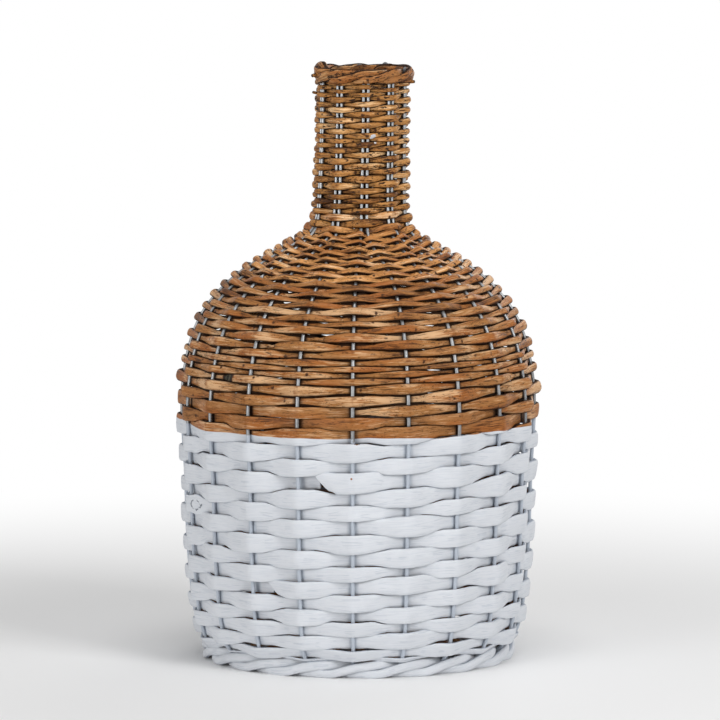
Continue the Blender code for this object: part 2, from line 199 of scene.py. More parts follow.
def placed(radius, angle, height):
    return np.array((radius * math.cos(angle) + lean(height), radius * math.sin(angle), height))


def spread_at(radius):
    """0 where the legs of a wire lie close together, 1 where all legs are evenly apart."""
    return clamped((radius - NECK_RADIUS) / (SPREAD_RADIUS - NECK_RADIUS))


def pair_angle(pair, radius, height):
    twist = NECK_TWIST * (1 - spread_at(radius)) if height > SHOULDER_HEIGHT else 0.0
    return FRONT_PAIR_ANGLE + pair * PAIR_STEP + twist


def leg_angle(leg, radius, height):
    side = 1 if leg % 2 else -1
    half = LEG_STEP / 2
    if height > SHOULDER_HEIGHT:
        half = lerp(math.asin(PAIR_SPACING / 2 / NECK_RADIUS), half, spread_at(radius))
    return pair_angle(leg // 2, radius, height) + side * half


print("first leg stands at", placed(FOOT_RADIUS, leg_angle(0, FOOT_RADIUS, 0.0), 0.0).round(4))

# %% [markdown]
# ## Light, floor and camera
# The stage comes first, so that each piece can be looked at as soon as it is made. Soft lamps
# stand in front, above and behind the vase, at a level where a colour looks about as it is
# written. The white background is only for the camera and for reflections: a Light Path node
# switches the world to plain white for those rays, and the lamps never have to burn it out.

# %% Camera
CAMERA_PLACE = (0.0017, -5.4, 0.867)
CAMERA_PITCH = math.radians(90 - 6.48)
CAMERA_LENS = 317.4
CAMERA_SENSOR = 36.0
CAMERA_SHIFT = 0.0012

bpy.ops.object.camera_add(location=CAMERA_PLACE, rotation=(CAMERA_PITCH, 0.0, 0.0))
camera = bpy.context.object
camera.name = "camera"
camera.data.lens = CAMERA_LENS
camera.data.sensor_width = CAMERA_SENSOR
camera.data.shift_y = CAMERA_SHIFT
bpy.context.scene.camera = camera
bpy.context.scene.view_settings.view_transform = "Standard"
print("camera:", tuple(round(v, 3) for v in camera.location))

# %% Lamps
LAMP_TARGET = Vector((0.0, 0.0, 0.25))
# name: place, width in metres, power in watts
LAMPS = {
    "key": ((2.25, -2.45, 1.8), 1.3, 60.5),
    "fill": ((-2.4, -2.45, 0.6), 1.6, 45.5),
    "top": ((0.1, -0.6, 2.7), 1.2, 20.0),
    "back": ((1.2, 2.4, 1.4), 1.6, 16.0),
}

for name, (place, size, power) in LAMPS.items():
    bpy.ops.object.light_add(type="AREA", location=place)
    lamp = bpy.context.object
    lamp.name = f"lamp_{name}"
    lamp.data.size = size
    lamp.data.energy = power
    lamp.rotation_euler = (LAMP_TARGET - Vector(place)).to_track_quat("-Z", "Y").to_euler()
print("lamps:", len(LAMPS))

# %% Helpers for materials


def add(tree, kind, inputs=None, **settings):
    """A node with its settings. Its inputs, by name or number, are values or other nodes' outputs."""
    made = tree.nodes.new(kind)
    for key, value in settings.items():
        setattr(made, key, value)
    for key, value in (inputs or {}).items():
        if isinstance(value, bpy.types.NodeSocket):
            tree.links.new(value, made.inputs[key])
        else:
            made.inputs[key].default_value = value
    return made


def maths(tree, operation, *values, clamp=False):
    inputs = dict(enumerate(values))
    return add(tree, "ShaderNodeMath", inputs, operation=operation, use_clamp=clamp).outputs[0]


def vector_maths(tree, operation, *values, output=0):
    return add(tree, "ShaderNodeVectorMath", dict(enumerate(values)), operation=operation).outputs[output]


def ramp(tree, value, low, high, start=0.0, end=1.0):
    """value from low to high becomes start to end, with soft ends."""
    inputs = dict(enumerate((value, low, high, start, end)))
    return add(tree, "ShaderNodeMapRange", inputs, interpolation_type="SMOOTHSTEP").outputs[0]


def mixed(tree, share, a, b):
    """Colour a, or b where share is 1. Sockets 6 and 7 are the Mix node's two colours."""
    return add(tree, "ShaderNodeMix", {0: share, 6: a, 7: b}, data_type="RGBA").outputs[2]


def noise(tree, vector, stretch, detail=2.0, roughness=0.5):
    """Noise whose grains are 1/stretch metres long in each direction."""
    inputs = {"Vector": vector_maths(tree, "MULTIPLY", vector, stretch), "Scale": 1.0}
    inputs |= {"Detail": detail, "Roughness": roughness}
    return add(tree, "ShaderNodeTexNoise", inputs).outputs["Fac"]


def z_of(tree, vector):
    return add(tree, "ShaderNodeSeparateXYZ", {"Vector": vector}).outputs["Z"]


def object_place(tree):
    return add(tree, "ShaderNodeTexCoord").outputs["Object"]


def attribute(tree, name, output="Fac"):
    return add(tree, "ShaderNodeAttribute", attribute_name=name).outputs[output]


def new_material(name):
    material = bpy.data.materials.new(name)
    material.use_nodes = True
    return material, material.node_tree, material.node_tree.nodes["Principled BSDF"]


def add_bump(tree, shader, height, strength, distance):
    raised = add(tree, "ShaderNodeBump", {"Strength": strength, "Distance": distance, "Height": height})
    tree.links.new(raised.outputs[0], shader.inputs["Normal"])


print("helpers ready")

# %% Background
WHITE = (1.0, 1.0, 1.0, 1.0)
WORLD_LIGHT = 0.30

world = bpy.data.worlds.new("studio")
bpy.context.scene.world = world
world.use_nodes = True
sky = world.node_tree
rays = add(sky, "ShaderNodeLightPath").outputs
seen = maths(sky, "ADD", rays["Is Camera Ray"], rays["Is Glossy Ray"], clamp=True)
seen = maths(sky, "ADD", seen, rays["Is Transmission Ray"], clamp=True)
strength = maths(sky, "MULTIPLY_ADD", seen, 1.0 - WORLD_LIGHT, WORLD_LIGHT)
sky.links.new(strength, sky.nodes["Background"].inputs["Strength"])
sky.nodes["Background"].inputs["Color"].default_value = WHITE
print("world light:", WORLD_LIGHT)

# %% Floor
FLOOR_SIZE = 60.0
FLOOR_COLOUR = (0.86, 0.86, 0.86, 1.0)
FLOOR_ROUGHNESS = 0.9
FLOOR_FADE = (0.35, 1.1)

bpy.ops.object.select_all(action="DESELECT")
bpy.ops.mesh.primitive_plane_add(size=FLOOR_SIZE)
floor = bpy.context.object
floor.name = "floor"
floor_material, floor_tree, floor_shader = new_material("pale_floor")
floor_shader.inputs["Base Color"].default_value = FLOOR_COLOUR
floor_shader.inputs["Roughness"].default_value = FLOOR_ROUGHNESS
from_vase = vector_maths(floor_tree, "LENGTH", object_place(floor_tree), output="Value")
camera_ray = add(floor_tree, "ShaderNodeLightPath").outputs["Is Camera Ray"]
white = add(floor_tree, "ShaderNodeEmission", {"Color": WHITE, "Strength": 1.0}).outputs[0]
faded = maths(floor_tree, "MULTIPLY", ramp(floor_tree, from_vase, *FLOOR_FADE), camera_ray)
blend = add(floor_tree, "ShaderNodeMixShader", {0: faded, 1: floor_shader.outputs[0], 2: white})
floor_tree.links.new(blend.outputs[0], floor_tree.nodes["Material Output"].inputs["Surface"])
floor.data.materials.append(floor_material)
print("floor:", FLOOR_SIZE, "m square")

# %% [markdown]
# ## Finishes
# Three finishes cover the whole vase: willow, dip paint over willow, and zinc on the wires.
#
# Fibres have to follow each rod round the vase, so every rod carries its own straightened
# coordinates: a vector attribute called rod holds how far along the rod a point is and where it
# lies in the rod's section. Noise that reads it runs along the rod, wherever the rod goes, with
# no seam. More attributes say how a point lies in the weave: face is 1 on the outer side, crest
# over a wire, the tuck mark behind one, where painted shade darkens the rod, low and high are the
# rod's edges where its neighbours begin, past which painted shade makes it almost black, and
# cut, knot and tone mark a cut end, a knot and how pale the rod is.
#
# Each effect is a node group, so all rods share it and only their colours differ.

# %% Helpers for node groups
COLOUR, VALUE = "NodeSocketColor", "NodeSocketFloat"


def new_group(name, inputs, outputs):
    """A node group, with its inputs and its outputs to link to."""
    group = bpy.data.node_groups.new(name, "ShaderNodeTree")
    for label, kind, value in inputs:
        socket = group.interface.new_socket(name=label, in_out="INPUT", socket_type=kind)
        socket.default_value = value
    for label, kind in outputs:
        group.interface.new_socket(name=label, in_out="OUTPUT", socket_type=kind)
    return group, group.nodes.new("NodeGroupInput").outputs, group.nodes.new("NodeGroupOutput").inputs


def group_node(tree, group, **inputs):
    return add(tree, "ShaderNodeGroup", inputs, node_tree=group).outputs


print("socket kinds:", COLOUR, VALUE)

# %% [markdown]
# ### Long splits
# A willow rod that is bent hard while it is a little dry splits along its fibres. Each split is a
# thin line that drifts slowly across the rod. A stretched noise would give broad soft streaks, so
# here noise is only the line's path, and the line is drawn where the point lies close to it.

# %% Long splits as a node group
SPLIT_STRETCHES = (4.0, 5.5, 7.5)
SPLIT_DRIFT = 0.040

splits, split_in, split_out = new_group("long_splits", [("Width", VALUE, 0.0004)], [("Mask", VALUE)])
along = attribute(splits, "rod", "Vector")
across = z_of(splits, along)
lines = 0.0
for number, stretch in enumerate(SPLIT_STRETCHES):
    moved = vector_maths(splits, "ADD", along, (7.0 * number, 0.0, 0.0))
    path = noise(splits, moved, (stretch, 0.0, 0.0), 1.0)
    path = maths(splits, "MULTIPLY_ADD", path, SPLIT_DRIFT, -SPLIT_DRIFT / 2)
    apart = maths(splits, "ABSOLUTE", maths(splits, "SUBTRACT", across, path))
    line = ramp(splits, maths(splits, "DIVIDE", apart, split_in["Width"]), 1.0, 0.3)
    lines = maths(splits, "MAXIMUM", lines, line)
broken = ramp(splits, noise(splits, along, (70.0, 70.0, 70.0), 1.0), 0.50, 0.60)
splits.links.new(maths(splits, "MULTIPLY", lines, broken), split_out["Mask"])
print("splits group:", len(splits.nodes), "nodes")

# %% [markdown]
# ### Willow
# Willow has long fibres, paler and darker stretches, rusty patches and dark flecks. It is bruised
# where it was bent over a wire, and has knots where buds sat. Painted shade makes the crevices
# between rods, the rods' edges and the stretches behind the wires almost black. Each of these is a
# mask that lays one more colour over those before it: the rod's own colours first, then the
# painted shade, then the cut ends.

# %% Willow: grain and colour
willow, willow_in, willow_out = new_group(
    "willow_surface",
    [("Mid", COLOUR, (0.33, 0.16, 0.06, 1.0)), ("Pale", COLOUR, (0.46, 0.25, 0.11, 1.0)),
     ("Dark", COLOUR, (0.15, 0.065, 0.024, 1.0)), ("Rust", COLOUR, (0.30, 0.10, 0.02, 1.0)),
     ("Flecks", VALUE, 0.5), ("Bruise", VALUE, 0.6)],
    [("Color", COLOUR), ("Height", VALUE), ("Roughness", VALUE)],
)
along = attribute(willow, "rod", "Vector")
fibres = noise(willow, along, (70.0, 1000.0, 1000.0), 3.0, 0.7)
patches = noise(willow, along, (38.0, 200.0, 200.0), 2.0)
stretches = noise(willow, along, (7.0, 7.0, 7.0), 1.0)
rust = noise(willow, along, (16.0, 60.0, 60.0), 2.0)
tone = attribute(willow, "tone")
for grain, strength in ((stretches, 1.6), (patches, 1.5), (fibres, 2.6)):
    tone = maths(willow, "ADD", tone, maths(willow, "MULTIPLY_ADD", grain, strength, -strength / 2))
colour = mixed(willow, ramp(willow, rust, 0.40, 0.66), willow_in["Mid"], willow_in["Rust"])
colour = mixed(willow, ramp(willow, tone, 0.45, 1.10), colour, willow_in["Pale"])
colour = mixed(willow, ramp(willow, tone, 0.35, -0.45), colour, willow_in["Dark"])
print("willow group so far:", len(willow.nodes), "nodes")

# %% Willow: flecks and cracks
FLECK_COLOUR = (0.030, 0.013, 0.006, 1.0)
CRACK_WIDTH = 0.00035
CRACK_STRENGTH = 0.75

specks = noise(willow, along, (380.0, 1100.0, 1100.0), 3.0, 0.75)
smudges = noise(willow, along, (110.0, 380.0, 380.0), 3.0, 0.7)
fleck = maths(willow, "MULTIPLY", ramp(willow, specks, 0.54, 0.64), ramp(willow, patches, 0.60, 0.44))
smudge = ramp(willow, maths(willow, "MULTIPLY_ADD", willow_in["Flecks"], 0.10, smudges), 0.68, 0.76)
fleck = maths(willow, "MULTIPLY", maths(willow, "MAXIMUM", fleck, smudge), willow_in["Flecks"], clamp=True)
crack = group_node(willow, splits, Width=CRACK_WIDTH)["Mask"]
fleck = maths(willow, "MAXIMUM", fleck, maths(willow, "MULTIPLY", crack, CRACK_STRENGTH))
colour = mixed(willow, fleck, colour, FLECK_COLOUR)
print("willow group so far:", len(willow.nodes), "nodes")

# %% Willow: bruises and knots
BRUISE_COLOUR = (0.20, 0.062, 0.012, 1.0)
KNOT_COLOUR = (0.060, 0.022, 0.008, 1.0)
BIG_KNOT_COLOUR = (0.014, 0.011, 0.007, 1.0)
BIG_KNOT_RING_COLOUR = (0.085, 0.074, 0.048, 1.0)
BIG_KNOT_RING_AT = 3.3

bent = maths(willow, "MULTIPLY_ADD", smudges, 0.9, attribute(willow, "crest"))
bent = maths(willow, "MULTIPLY", ramp(willow, bent, 1.25, 1.50), willow_in["Bruise"])
colour = mixed(willow, bent, colour, BRUISE_COLOUR)
knotted = maths(willow, "MULTIPLY_ADD", smudges, 0.8, attribute(willow, "knot"))
colour = mixed(willow, ramp(willow, knotted, 0.75, 1.15), colour, KNOT_COLOUR)
colour = mixed(willow, ramp(willow, knotted, 1.4, 1.8), colour, BIG_KNOT_COLOUR)
ring = maths(willow, "ABSOLUTE", maths(willow, "SUBTRACT", knotted, BIG_KNOT_RING_AT))
colour = mixed(willow, ramp(willow, ring, 0.6, 0.3, 0.0, 0.8), colour, BIG_KNOT_RING_COLOUR)
print("willow group so far:", len(willow.nodes), "nodes")

# %% Willow: painted shade in the crevices, cut ends and surface
# Painted shade: a near-black colour for the crevices between rods, the rods' upper and lower edges and the
# stretches behind the wires.
CREVICE_SHADE_COLOUR = (0.012, 0.005, 0.003, 1.0)
CREVICE_SHADE_STRENGTH = 0.95
CUT_COLOUR = (0.05, 0.028, 0.016, 1.0)

# Painted shade: darker towards the rod's upper and lower edges, behind the wires where the tuck mark is set,
# and past the low and high edges where neighbours begin.
crevice_shade = maths(willow, "MULTIPLY_ADD", smudges, 0.5, maths(willow, "ABSOLUTE", attribute(willow, "face")))
crevice_shade = maths(willow, "MAXIMUM", ramp(willow, crevice_shade, 1.0, 0.48), attribute(willow, "tuck"))
across = z_of(willow, along)
above = maths(willow, "SUBTRACT", across, attribute(willow, "high"))
below = maths(willow, "SUBTRACT", attribute(willow, "low"), across)
beyond = maths(willow, "MULTIPLY_ADD", smudges, 0.0006, maths(willow, "MAXIMUM", above, below))
crevice_shade = maths(willow, "MAXIMUM", crevice_shade, ramp(willow, beyond, 0.0002, 0.0005))
crevice_shade = maths(willow, "MULTIPLY", crevice_shade, CREVICE_SHADE_STRENGTH)
colour = mixed(willow, crevice_shade, colour, CREVICE_SHADE_COLOUR)
colour = mixed(willow, attribute(willow, "cut"), colour, CUT_COLOUR)
ridges = maths(willow, "MULTIPLY_ADD", fibres, 0.8, maths(willow, "MULTIPLY", specks, 0.4))
ridges = maths(willow, "MULTIPLY_ADD", fleck, -0.5, ridges)
# Rougher where the painted shade lies, so the crevices don't shine.
rough = maths(willow, "MAXIMUM", maths(willow, "MULTIPLY_ADD", fibres, 0.3, 0.30), crevice_shade)
for name, value in (("Color", colour), ("Height", ridges), ("Roughness", rough)):
    willow.links.new(value, willow_out[name])
print("willow group:", len(willow.nodes), "nodes")

# %% [markdown]
# ### Dip paint
# The woven vase was dipped upright in thin white paint. So the paint ends at one height all
# round, with a wavy edge, it lies only on the outer side, and the fibres still show through it as
# grey streaks. A few chips are missing, and a few drops have landed on the neck. A mask on
# Object coordinates follows the dip, and the streaks follow the rod as the willow's fibres do.

# %% Dip paint: where it lies
PAINT_LINE = 0.2045
PAINT_WAVES = 0.006
PAINT_DIP = (-0.0010, -0.1530, 0.2035)
PAINT_DIP_SIZE = 0.0032
PAINT_DIP_DEPTH = 0.02
PAINT_CHIPS = [((-0.0055, -0.1540, 0.1720), 0.0010), ((-0.0058, -0.1520, 0.0440), 0.0007)]
PAINT_DROPS = [
    ((0.0158, -0.0375, 0.4453), 0.0024), ((0.0118, -0.0385, 0.4487), 0.0021),
    ((0.0143, -0.0380, 0.4494), 0.0021),
]

# Shade is both the grey of thin paint over the fibres and the painted shade at the rods' edges and behind
# the wires.
paint, paint_in, paint_out = new_group(
    "dip_paint",
    [("Under", COLOUR, (0.3, 0.15, 0.06, 1.0)), ("Paint", COLOUR, (0.66, 0.68, 0.715, 1.0)),
     ("Shade", COLOUR, (0.40, 0.45, 0.52, 1.0)), ("Inside", VALUE, 1.0)],
    [("Color", COLOUR), ("Mask", VALUE), ("Height", VALUE)],
)
paint_place = object_place(paint)
ragged = noise(paint, paint_place, (420.0, 420.0, 420.0), 2.0)


def spot(centre, size):
    """1 inside a small ragged patch round a place, in the paint group."""
    away = vector_maths(paint, "DISTANCE", paint_place, centre, output="Value")
    away = maths(paint, "MULTIPLY_ADD", ragged, size, away)
    return ramp(paint, away, 1.6 * size, 1.4 * size)


waves = noise(paint, paint_place, (22.0, 22.0, 14.0), 2.0)
edge = maths(paint, "MULTIPLY_ADD", waves, PAINT_WAVES, PAINT_LINE - PAINT_WAVES / 2)
edge = maths(paint, "MULTIPLY_ADD", spot(PAINT_DIP, PAINT_DIP_SIZE), -PAINT_DIP_DEPTH, edge)
mask = ramp(paint, maths(paint, "SUBTRACT", edge, z_of(paint, paint_place)), -0.0003, 0.0003)
for centre, size in PAINT_CHIPS:
    mask = maths(paint, "SUBTRACT", mask, spot(centre, size), clamp=True)
for centre, size in PAINT_DROPS:
    mask = maths(paint, "MAXIMUM", mask, spot(centre, size))
outer = ramp(paint, attribute(paint, "face"), -0.95, -0.6)
outer = maths(paint, "MAXIMUM", outer, maths(paint, "SUBTRACT", 1.0, paint_in["Inside"]))
mask = maths(paint, "MULTIPLY", mask, outer)
print("paint group so far:", len(paint.nodes), "nodes")

# %% Dip paint: streaks, painted shade at the edges, and knots
PAINT_CRACK_WIDTH = 0.00045
KNOT_RIM_COLOUR = (0.12, 0.14, 0.17, 1.0)
KNOT_RIM_AT = 2.7

along = attribute(paint, "rod", "Vector")
streaks = noise(paint, along, (55.0, 900.0, 900.0), 3.0, 0.7)
thin = ramp(paint, streaks, 0.42, 0.72, 0.0, 0.30)
crack = group_node(paint, splits, Width=PAINT_CRACK_WIDTH)["Mask"]
thin = maths(paint, "MAXIMUM", thin, maths(paint, "MULTIPLY", crack, 0.45))
soft = maths(paint, "MULTIPLY_ADD", noise(paint, paint_place, (60.0, 60.0, 60.0), 1.0), 0.10, 0.95)
shade = add(paint, "ShaderNodeVectorMath", {0: paint_in["Paint"], "Scale": soft}, operation="SCALE")
coat = mixed(paint, thin, shade.outputs[0], paint_in["Shade"])
# Painted shade: the Shade colour at a rod's upper and lower edges and behind the wires.
edges = maths(paint, "MAXIMUM", ramp(paint, attribute(paint, "face"), 0.45, 0.0), attribute(paint, "tuck"))
coat = mixed(paint, maths(paint, "MULTIPLY", edges, 0.8), coat, paint_in["Shade"])
rim = maths(paint, "MULTIPLY_ADD", ragged, 1.6, attribute(paint, "knot"))
rim = maths(paint, "ABSOLUTE", maths(paint, "SUBTRACT", rim, KNOT_RIM_AT))
rim = ramp(paint, rim, 0.50, 0.15, 0.0, 0.85)
open_rim = ramp(paint, noise(paint, paint_place, (230.0, 230.0, 230.0), 1.0), 0.42, 0.54)
coat = mixed(paint, maths(paint, "MULTIPLY", rim, open_rim), coat, KNOT_RIM_COLOUR)
paint.links.new(mixed(paint, mask, paint_in["Under"], coat), paint_out["Color"])
paint.links.new(mask, paint_out["Mask"])
paint.links.new(maths(paint, "MULTIPLY_ADD", crack, -0.8, streaks), paint_out["Height"])
print("paint group:", len(paint.nodes), "nodes")

# %% [markdown]
# ### Materials of the rods
# The rods of each part of the vase come from another bundle, so each has its own colours and its
# own share of flecks. One function joins the willow and the paint to the shader. The neck's rods
# take the paint too, for the drops on them.

# %% Rod materials
UMBER = (0.085, 0.028, 0.007)
RUST = (0.345, 0.115, 0.026)
PALE_RUST = (0.43, 0.18, 0.047)
SATIN = 0.14
BUMP_STRENGTH = 0.6
# name: middle and pale colour, rust, flecks, bruises, whether it takes paint, depth of the bumps
ROD_COLOURS = {
    "painted": ((0.355, 0.155, 0.050), (0.61, 0.365, 0.195), RUST, 0.6, 0.6, True, 0.00022),
    "natural": ((0.370, 0.162, 0.050), (0.62, 0.375, 0.195), RUST, 0.8, 0.7, True, 0.00022),
    "shoulder": ((0.625, 0.292, 0.094), (0.88, 0.59, 0.34), RUST, 0.9, 0.6, False, 0.00022),
    "neck": ((0.500, 0.237, 0.070), (0.82, 0.52, 0.26), PALE_RUST, 1.3, 0.35, True, 0.00022),
    "rim": ((0.370, 0.156, 0.047), (0.60, 0.35, 0.16), RUST, 1.35, 0.5, False, 0.0008),
}


def rod_material(name, mid, pale, rust, flecks, bruise, painted, bump):
    material, tree, shader = new_material(name)
    colours = {"Mid": mid, "Pale": pale, "Dark": UMBER, "Rust": rust}
    colours = {label: (*colour, 1.0) for label, colour in colours.items()}
    wood = group_node(tree, willow, **colours, Flecks=flecks, Bruise=bruise)
    colour, rough, height = wood["Color"], wood["Roughness"], wood["Height"]
    if painted:
        coat = group_node(tree, paint, Under=colour)
        colour = coat["Color"]
        streaks = maths(tree, "MULTIPLY", coat["Height"], 0.4)
        rough = maths(tree, "MULTIPLY_ADD", coat["Mask"], 0.12, rough)
        height = maths(tree, "MULTIPLY_ADD", coat["Mask"], streaks, height)
    tree.links.new(colour, shader.inputs["Base Color"])
    tree.links.new(rough, shader.inputs["Roughness"])
    add_bump(tree, shader, height, BUMP_STRENGTH, bump)
    shader.inputs["Specular IOR Level"].default_value = SATIN
    return material


ROD_FINISHES = {name: rod_material(f"willow_{name}", *values) for name, values in ROD_COLOURS.items()}
print("rod finishes:", sorted(ROD_FINISHES))

# %% [markdown]
# ### Zinc
# The wires are zinc coated. Dipped zinc sets in grey crystals called spangle, so a fine noise
# mixes two greys. On the body the wires get darker greys than on the neck: that is painted
# shade, for the wires there lie in the shadow of the rods. At the loops above the rim they are
# dark and not metallic. Where the paint covers a wire, it isn't metallic any more.

# %% Wire material
BRIGHT_ZINC = (0.30, 0.31, 0.32, 1.0), (0.58, 0.59, 0.60, 1.0)
# Painted shade: darker zinc for the wires on the body.
SHADED_BODY_ZINC = (0.16, 0.165, 0.17, 1.0), (0.40, 0.405, 0.41, 1.0)
# Dark and not metallic at the loops above the rim.
DARK_LOOP_ZINC = (0.10, 0.10, 0.105, 1.0)
SHADED_BODY_TO_BRIGHT = (0.36, 0.40)
BRIGHT_TO_DARK_LOOP = (0.496, 0.501)
METALLIC = 0.85

wire_material, wire_tree, wire_shader = new_material("galvanised_wire")
wire_place = object_place(wire_tree)
spangle = noise(wire_tree, wire_place, (900.0, 900.0, 260.0), 2.0)
rise = z_of(wire_tree, wire_place)
bright = mixed(wire_tree, spangle, *BRIGHT_ZINC)
shaded_body_zinc = mixed(wire_tree, spangle, *SHADED_BODY_ZINC)
zinc = mixed(wire_tree, ramp(wire_tree, rise, *SHADED_BODY_TO_BRIGHT), shaded_body_zinc, bright)
dark_loop = ramp(wire_tree, rise, *BRIGHT_TO_DARK_LOOP)
# The wires carry no face mark, so where the paint covers a wire the painted edge shade covers all of it and
# turns it bluish grey.
coat = group_node(wire_tree, paint, Under=mixed(wire_tree, dark_loop, zinc, DARK_LOOP_ZINC), Inside=0.0)
wire_tree.links.new(coat["Color"], wire_shader.inputs["Base Color"])
bare = maths(wire_tree, "SUBTRACT", 1.0, maths(wire_tree, "MAXIMUM", coat["Mask"], dark_loop))
wire_tree.links.new(maths(wire_tree, "MULTIPLY", bare, METALLIC), wire_shader.inputs["Metallic"])
wire_tree.links.new(maths(wire_tree, "MULTIPLY_ADD", spangle, 0.25, 0.30), wire_shader.inputs["Roughness"])
add_bump(wire_tree, wire_shader, spangle, 0.4, 0.0001)
print("wire finish:", len(wire_tree.nodes), "nodes")

# %% [markdown]
# ## The frame wires
# Each wire is one length of galvanised steel, bent double. Its two legs start flat under the vase
# as spokes, turn up at the foot, follow the wall and meet again in a small loop above the rim.
# In Blender that is one curve with a round bevel: the points follow the same outline as the
# solids, only closer together, and the curve is turned into a mesh at the end.

# %% Helpers for curves and meshes
SMOOTH_ANGLE = math.radians(50)
WELD_DISTANCE = 0.000002


def only_select(obj):
    bpy.ops.object.select_all(action="DESELECT")
    obj.select_set(True)
    bpy.context.view_layer.objects.active = obj


def new_curve(name, points, radii=None, tilts=None, twist="Z_UP"):
    curve = bpy.data.curves.new(name, "CURVE")
    curve.dimensions = "3D"
    curve.twist_mode = twist
    curve.use_fill_caps = True
    spline = curve.splines.new("POLY")
    spline.points.add(len(points) - 1)
    spline.points.foreach_set("co", np.column_stack((points, np.ones(len(points)))).ravel())
    if radii is not None:
        spline.points.foreach_set("radius", radii)
    if tilts is not None:
        spline.points.foreach_set("tilt", tilts)
    spline.use_smooth = True
    obj = bpy.data.objects.new(name, curve)
    bpy.context.scene.collection.objects.link(obj)
    return obj


def to_mesh(obj):
    only_select(obj)
    bpy.ops.object.convert(target="MESH")
    return bpy.context.object


def weld(obj):
    """Joins the caps to the tube and turns every face outwards."""
    only_select(obj)
    bpy.ops.object.mode_set(mode="EDIT")
    bpy.ops.mesh.select_all(action="SELECT")
    bpy.ops.mesh.remove_doubles(threshold=WELD_DISTANCE)
    bpy.ops.mesh.normals_make_consistent(inside=False)
    bpy.ops.object.mode_set(mode="OBJECT")
    bpy.ops.object.shade_smooth_by_angle(angle=SMOOTH_ANGLE)


def hand_over(obj, material, node=None):
    """Gives a finished piece its finish and its body, and hides the solid it stands for, if there is one."""
    obj.data.materials.clear()
    obj.data.materials.append(material)
    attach(obj, "root")
    if node:
        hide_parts(node)


print("a bend smoother than", round(math.degrees(SMOOTH_ANGLE)), "degrees is shaded smooth")

# %% The route of a hairpin wire
WIRE_POINT_SPACING = 0.004
SPOKE_POINTS = 8
BEND_POINTS = 6
LOOP_POINTS = 8


def leg_route(leg):
    """From the spoke's inner end, out, round the foot bend and up the wall."""
    inner = SHORT_SPOKE_INNER_RADIUS if leg % 2 else LONG_SPOKE_INNER_RADIUS
    centre = FOOT_RADIUS - FOOT_BEND_RADIUS
    outline = [(lerp(inner, centre, i / SPOKE_POINTS), SPOKE_HEIGHT) for i in range(SPOKE_POINTS + 1)]
    for i in range(1, BEND_POINTS):
        turned = math.pi / 2 * i / BEND_POINTS
        outline.append((
            centre + FOOT_BEND_RADIUS * math.sin(turned),
            SPOKE_HEIGHT + FOOT_BEND_RADIUS * (1 - math.cos(turned)),
        ))
    count = int(wall_knots[-1] / WIRE_POINT_SPACING)
    outline += [wall_at(wall_knots[-1] * i / count)[:2] for i in range(count + 1)]
    return [placed(r, leg_angle(leg, r, z), z) for r, z in outline]


def loop_route(pair):
    """The half circle that joins the tops of a wire's two legs."""
    radius, height = wall_at(wall_knots[-1])[:2]
    angle = pair_angle(pair, radius, height)
    centre = placed(radius, angle, height)
    across = np.array((-math.sin(angle), math.cos(angle), 0.0))
    half = PAIR_SPACING / 2
    turns = [math.pi * i / LOOP_POINTS for i in range(1, LOOP_POINTS)]
    return [centre - half * math.cos(t) * across + np.array((0, 0, half * math.sin(t))) for t in turns]


print("points in a leg:", len(leg_route(0)))

# %% Draw the hairpin wires
# How far each loop is pushed down between the rim rods. Most of them hardly show.
LOOP_DROPS = {0: 0.0042, 1: 0.0046, 2: 0.0022, 4: 0.0006, 5: 0.0028}
LOOP_DROP = 0.0048
DROP_START = 0.488
LOOP_START = 0.500
# Times the wire's radius, at four heights: fatter on the body, under the paint, and on the loops.
WIRE_FATNESS = (1.30, 1.02, 1.02, 1.30)

for pair in range(HAIRPINS):
    route = np.array(leg_route(2 * pair) + loop_route(pair) + leg_route(2 * pair + 1)[::-1])
    pushed = np.clip((route[:, 2] - DROP_START) / (HEIGHT - DROP_START), 0.0, 1.0)
    route[:, 2] -= LOOP_DROPS.get(pair, LOOP_DROP) * pushed
    thick = np.interp(route[:, 2], (SHOULDER_HEIGHT, NECK_HEIGHT, LOOP_START, HEIGHT), WIRE_FATNESS)
    wire = new_curve(f"hairpin_wire_{pair + 1:02d}", route, thick, twist="MINIMUM")
    wire.data.bevel_depth = WIRE_RADIUS
    wire.data.bevel_resolution = 4
    wire = to_mesh(wire)
    weld(wire)
    hand_over(wire, wire_material, f"frame_wire_{pair + 1:02d}")
print("wires:", HAIRPINS, "faces in one:", len(wire.data.polygons))

# %% [markdown]
# ## How the rods are woven
# Two rods are worked in turn round the twenty wires. Each passes over one wire and under the
# next, and the other does the opposite, so together they climb the wall like a double thread.
# Counting in rows of weave, a rod climbs one row for every ten wires.
#
# On the shoulder the wires draw together, and on the neck each close pair counts as one. The
# rows are not all the same height, because willow rods are not all the same thickness: the list
# below gives each row's share of the wall, as read from how far apart the rows lie.

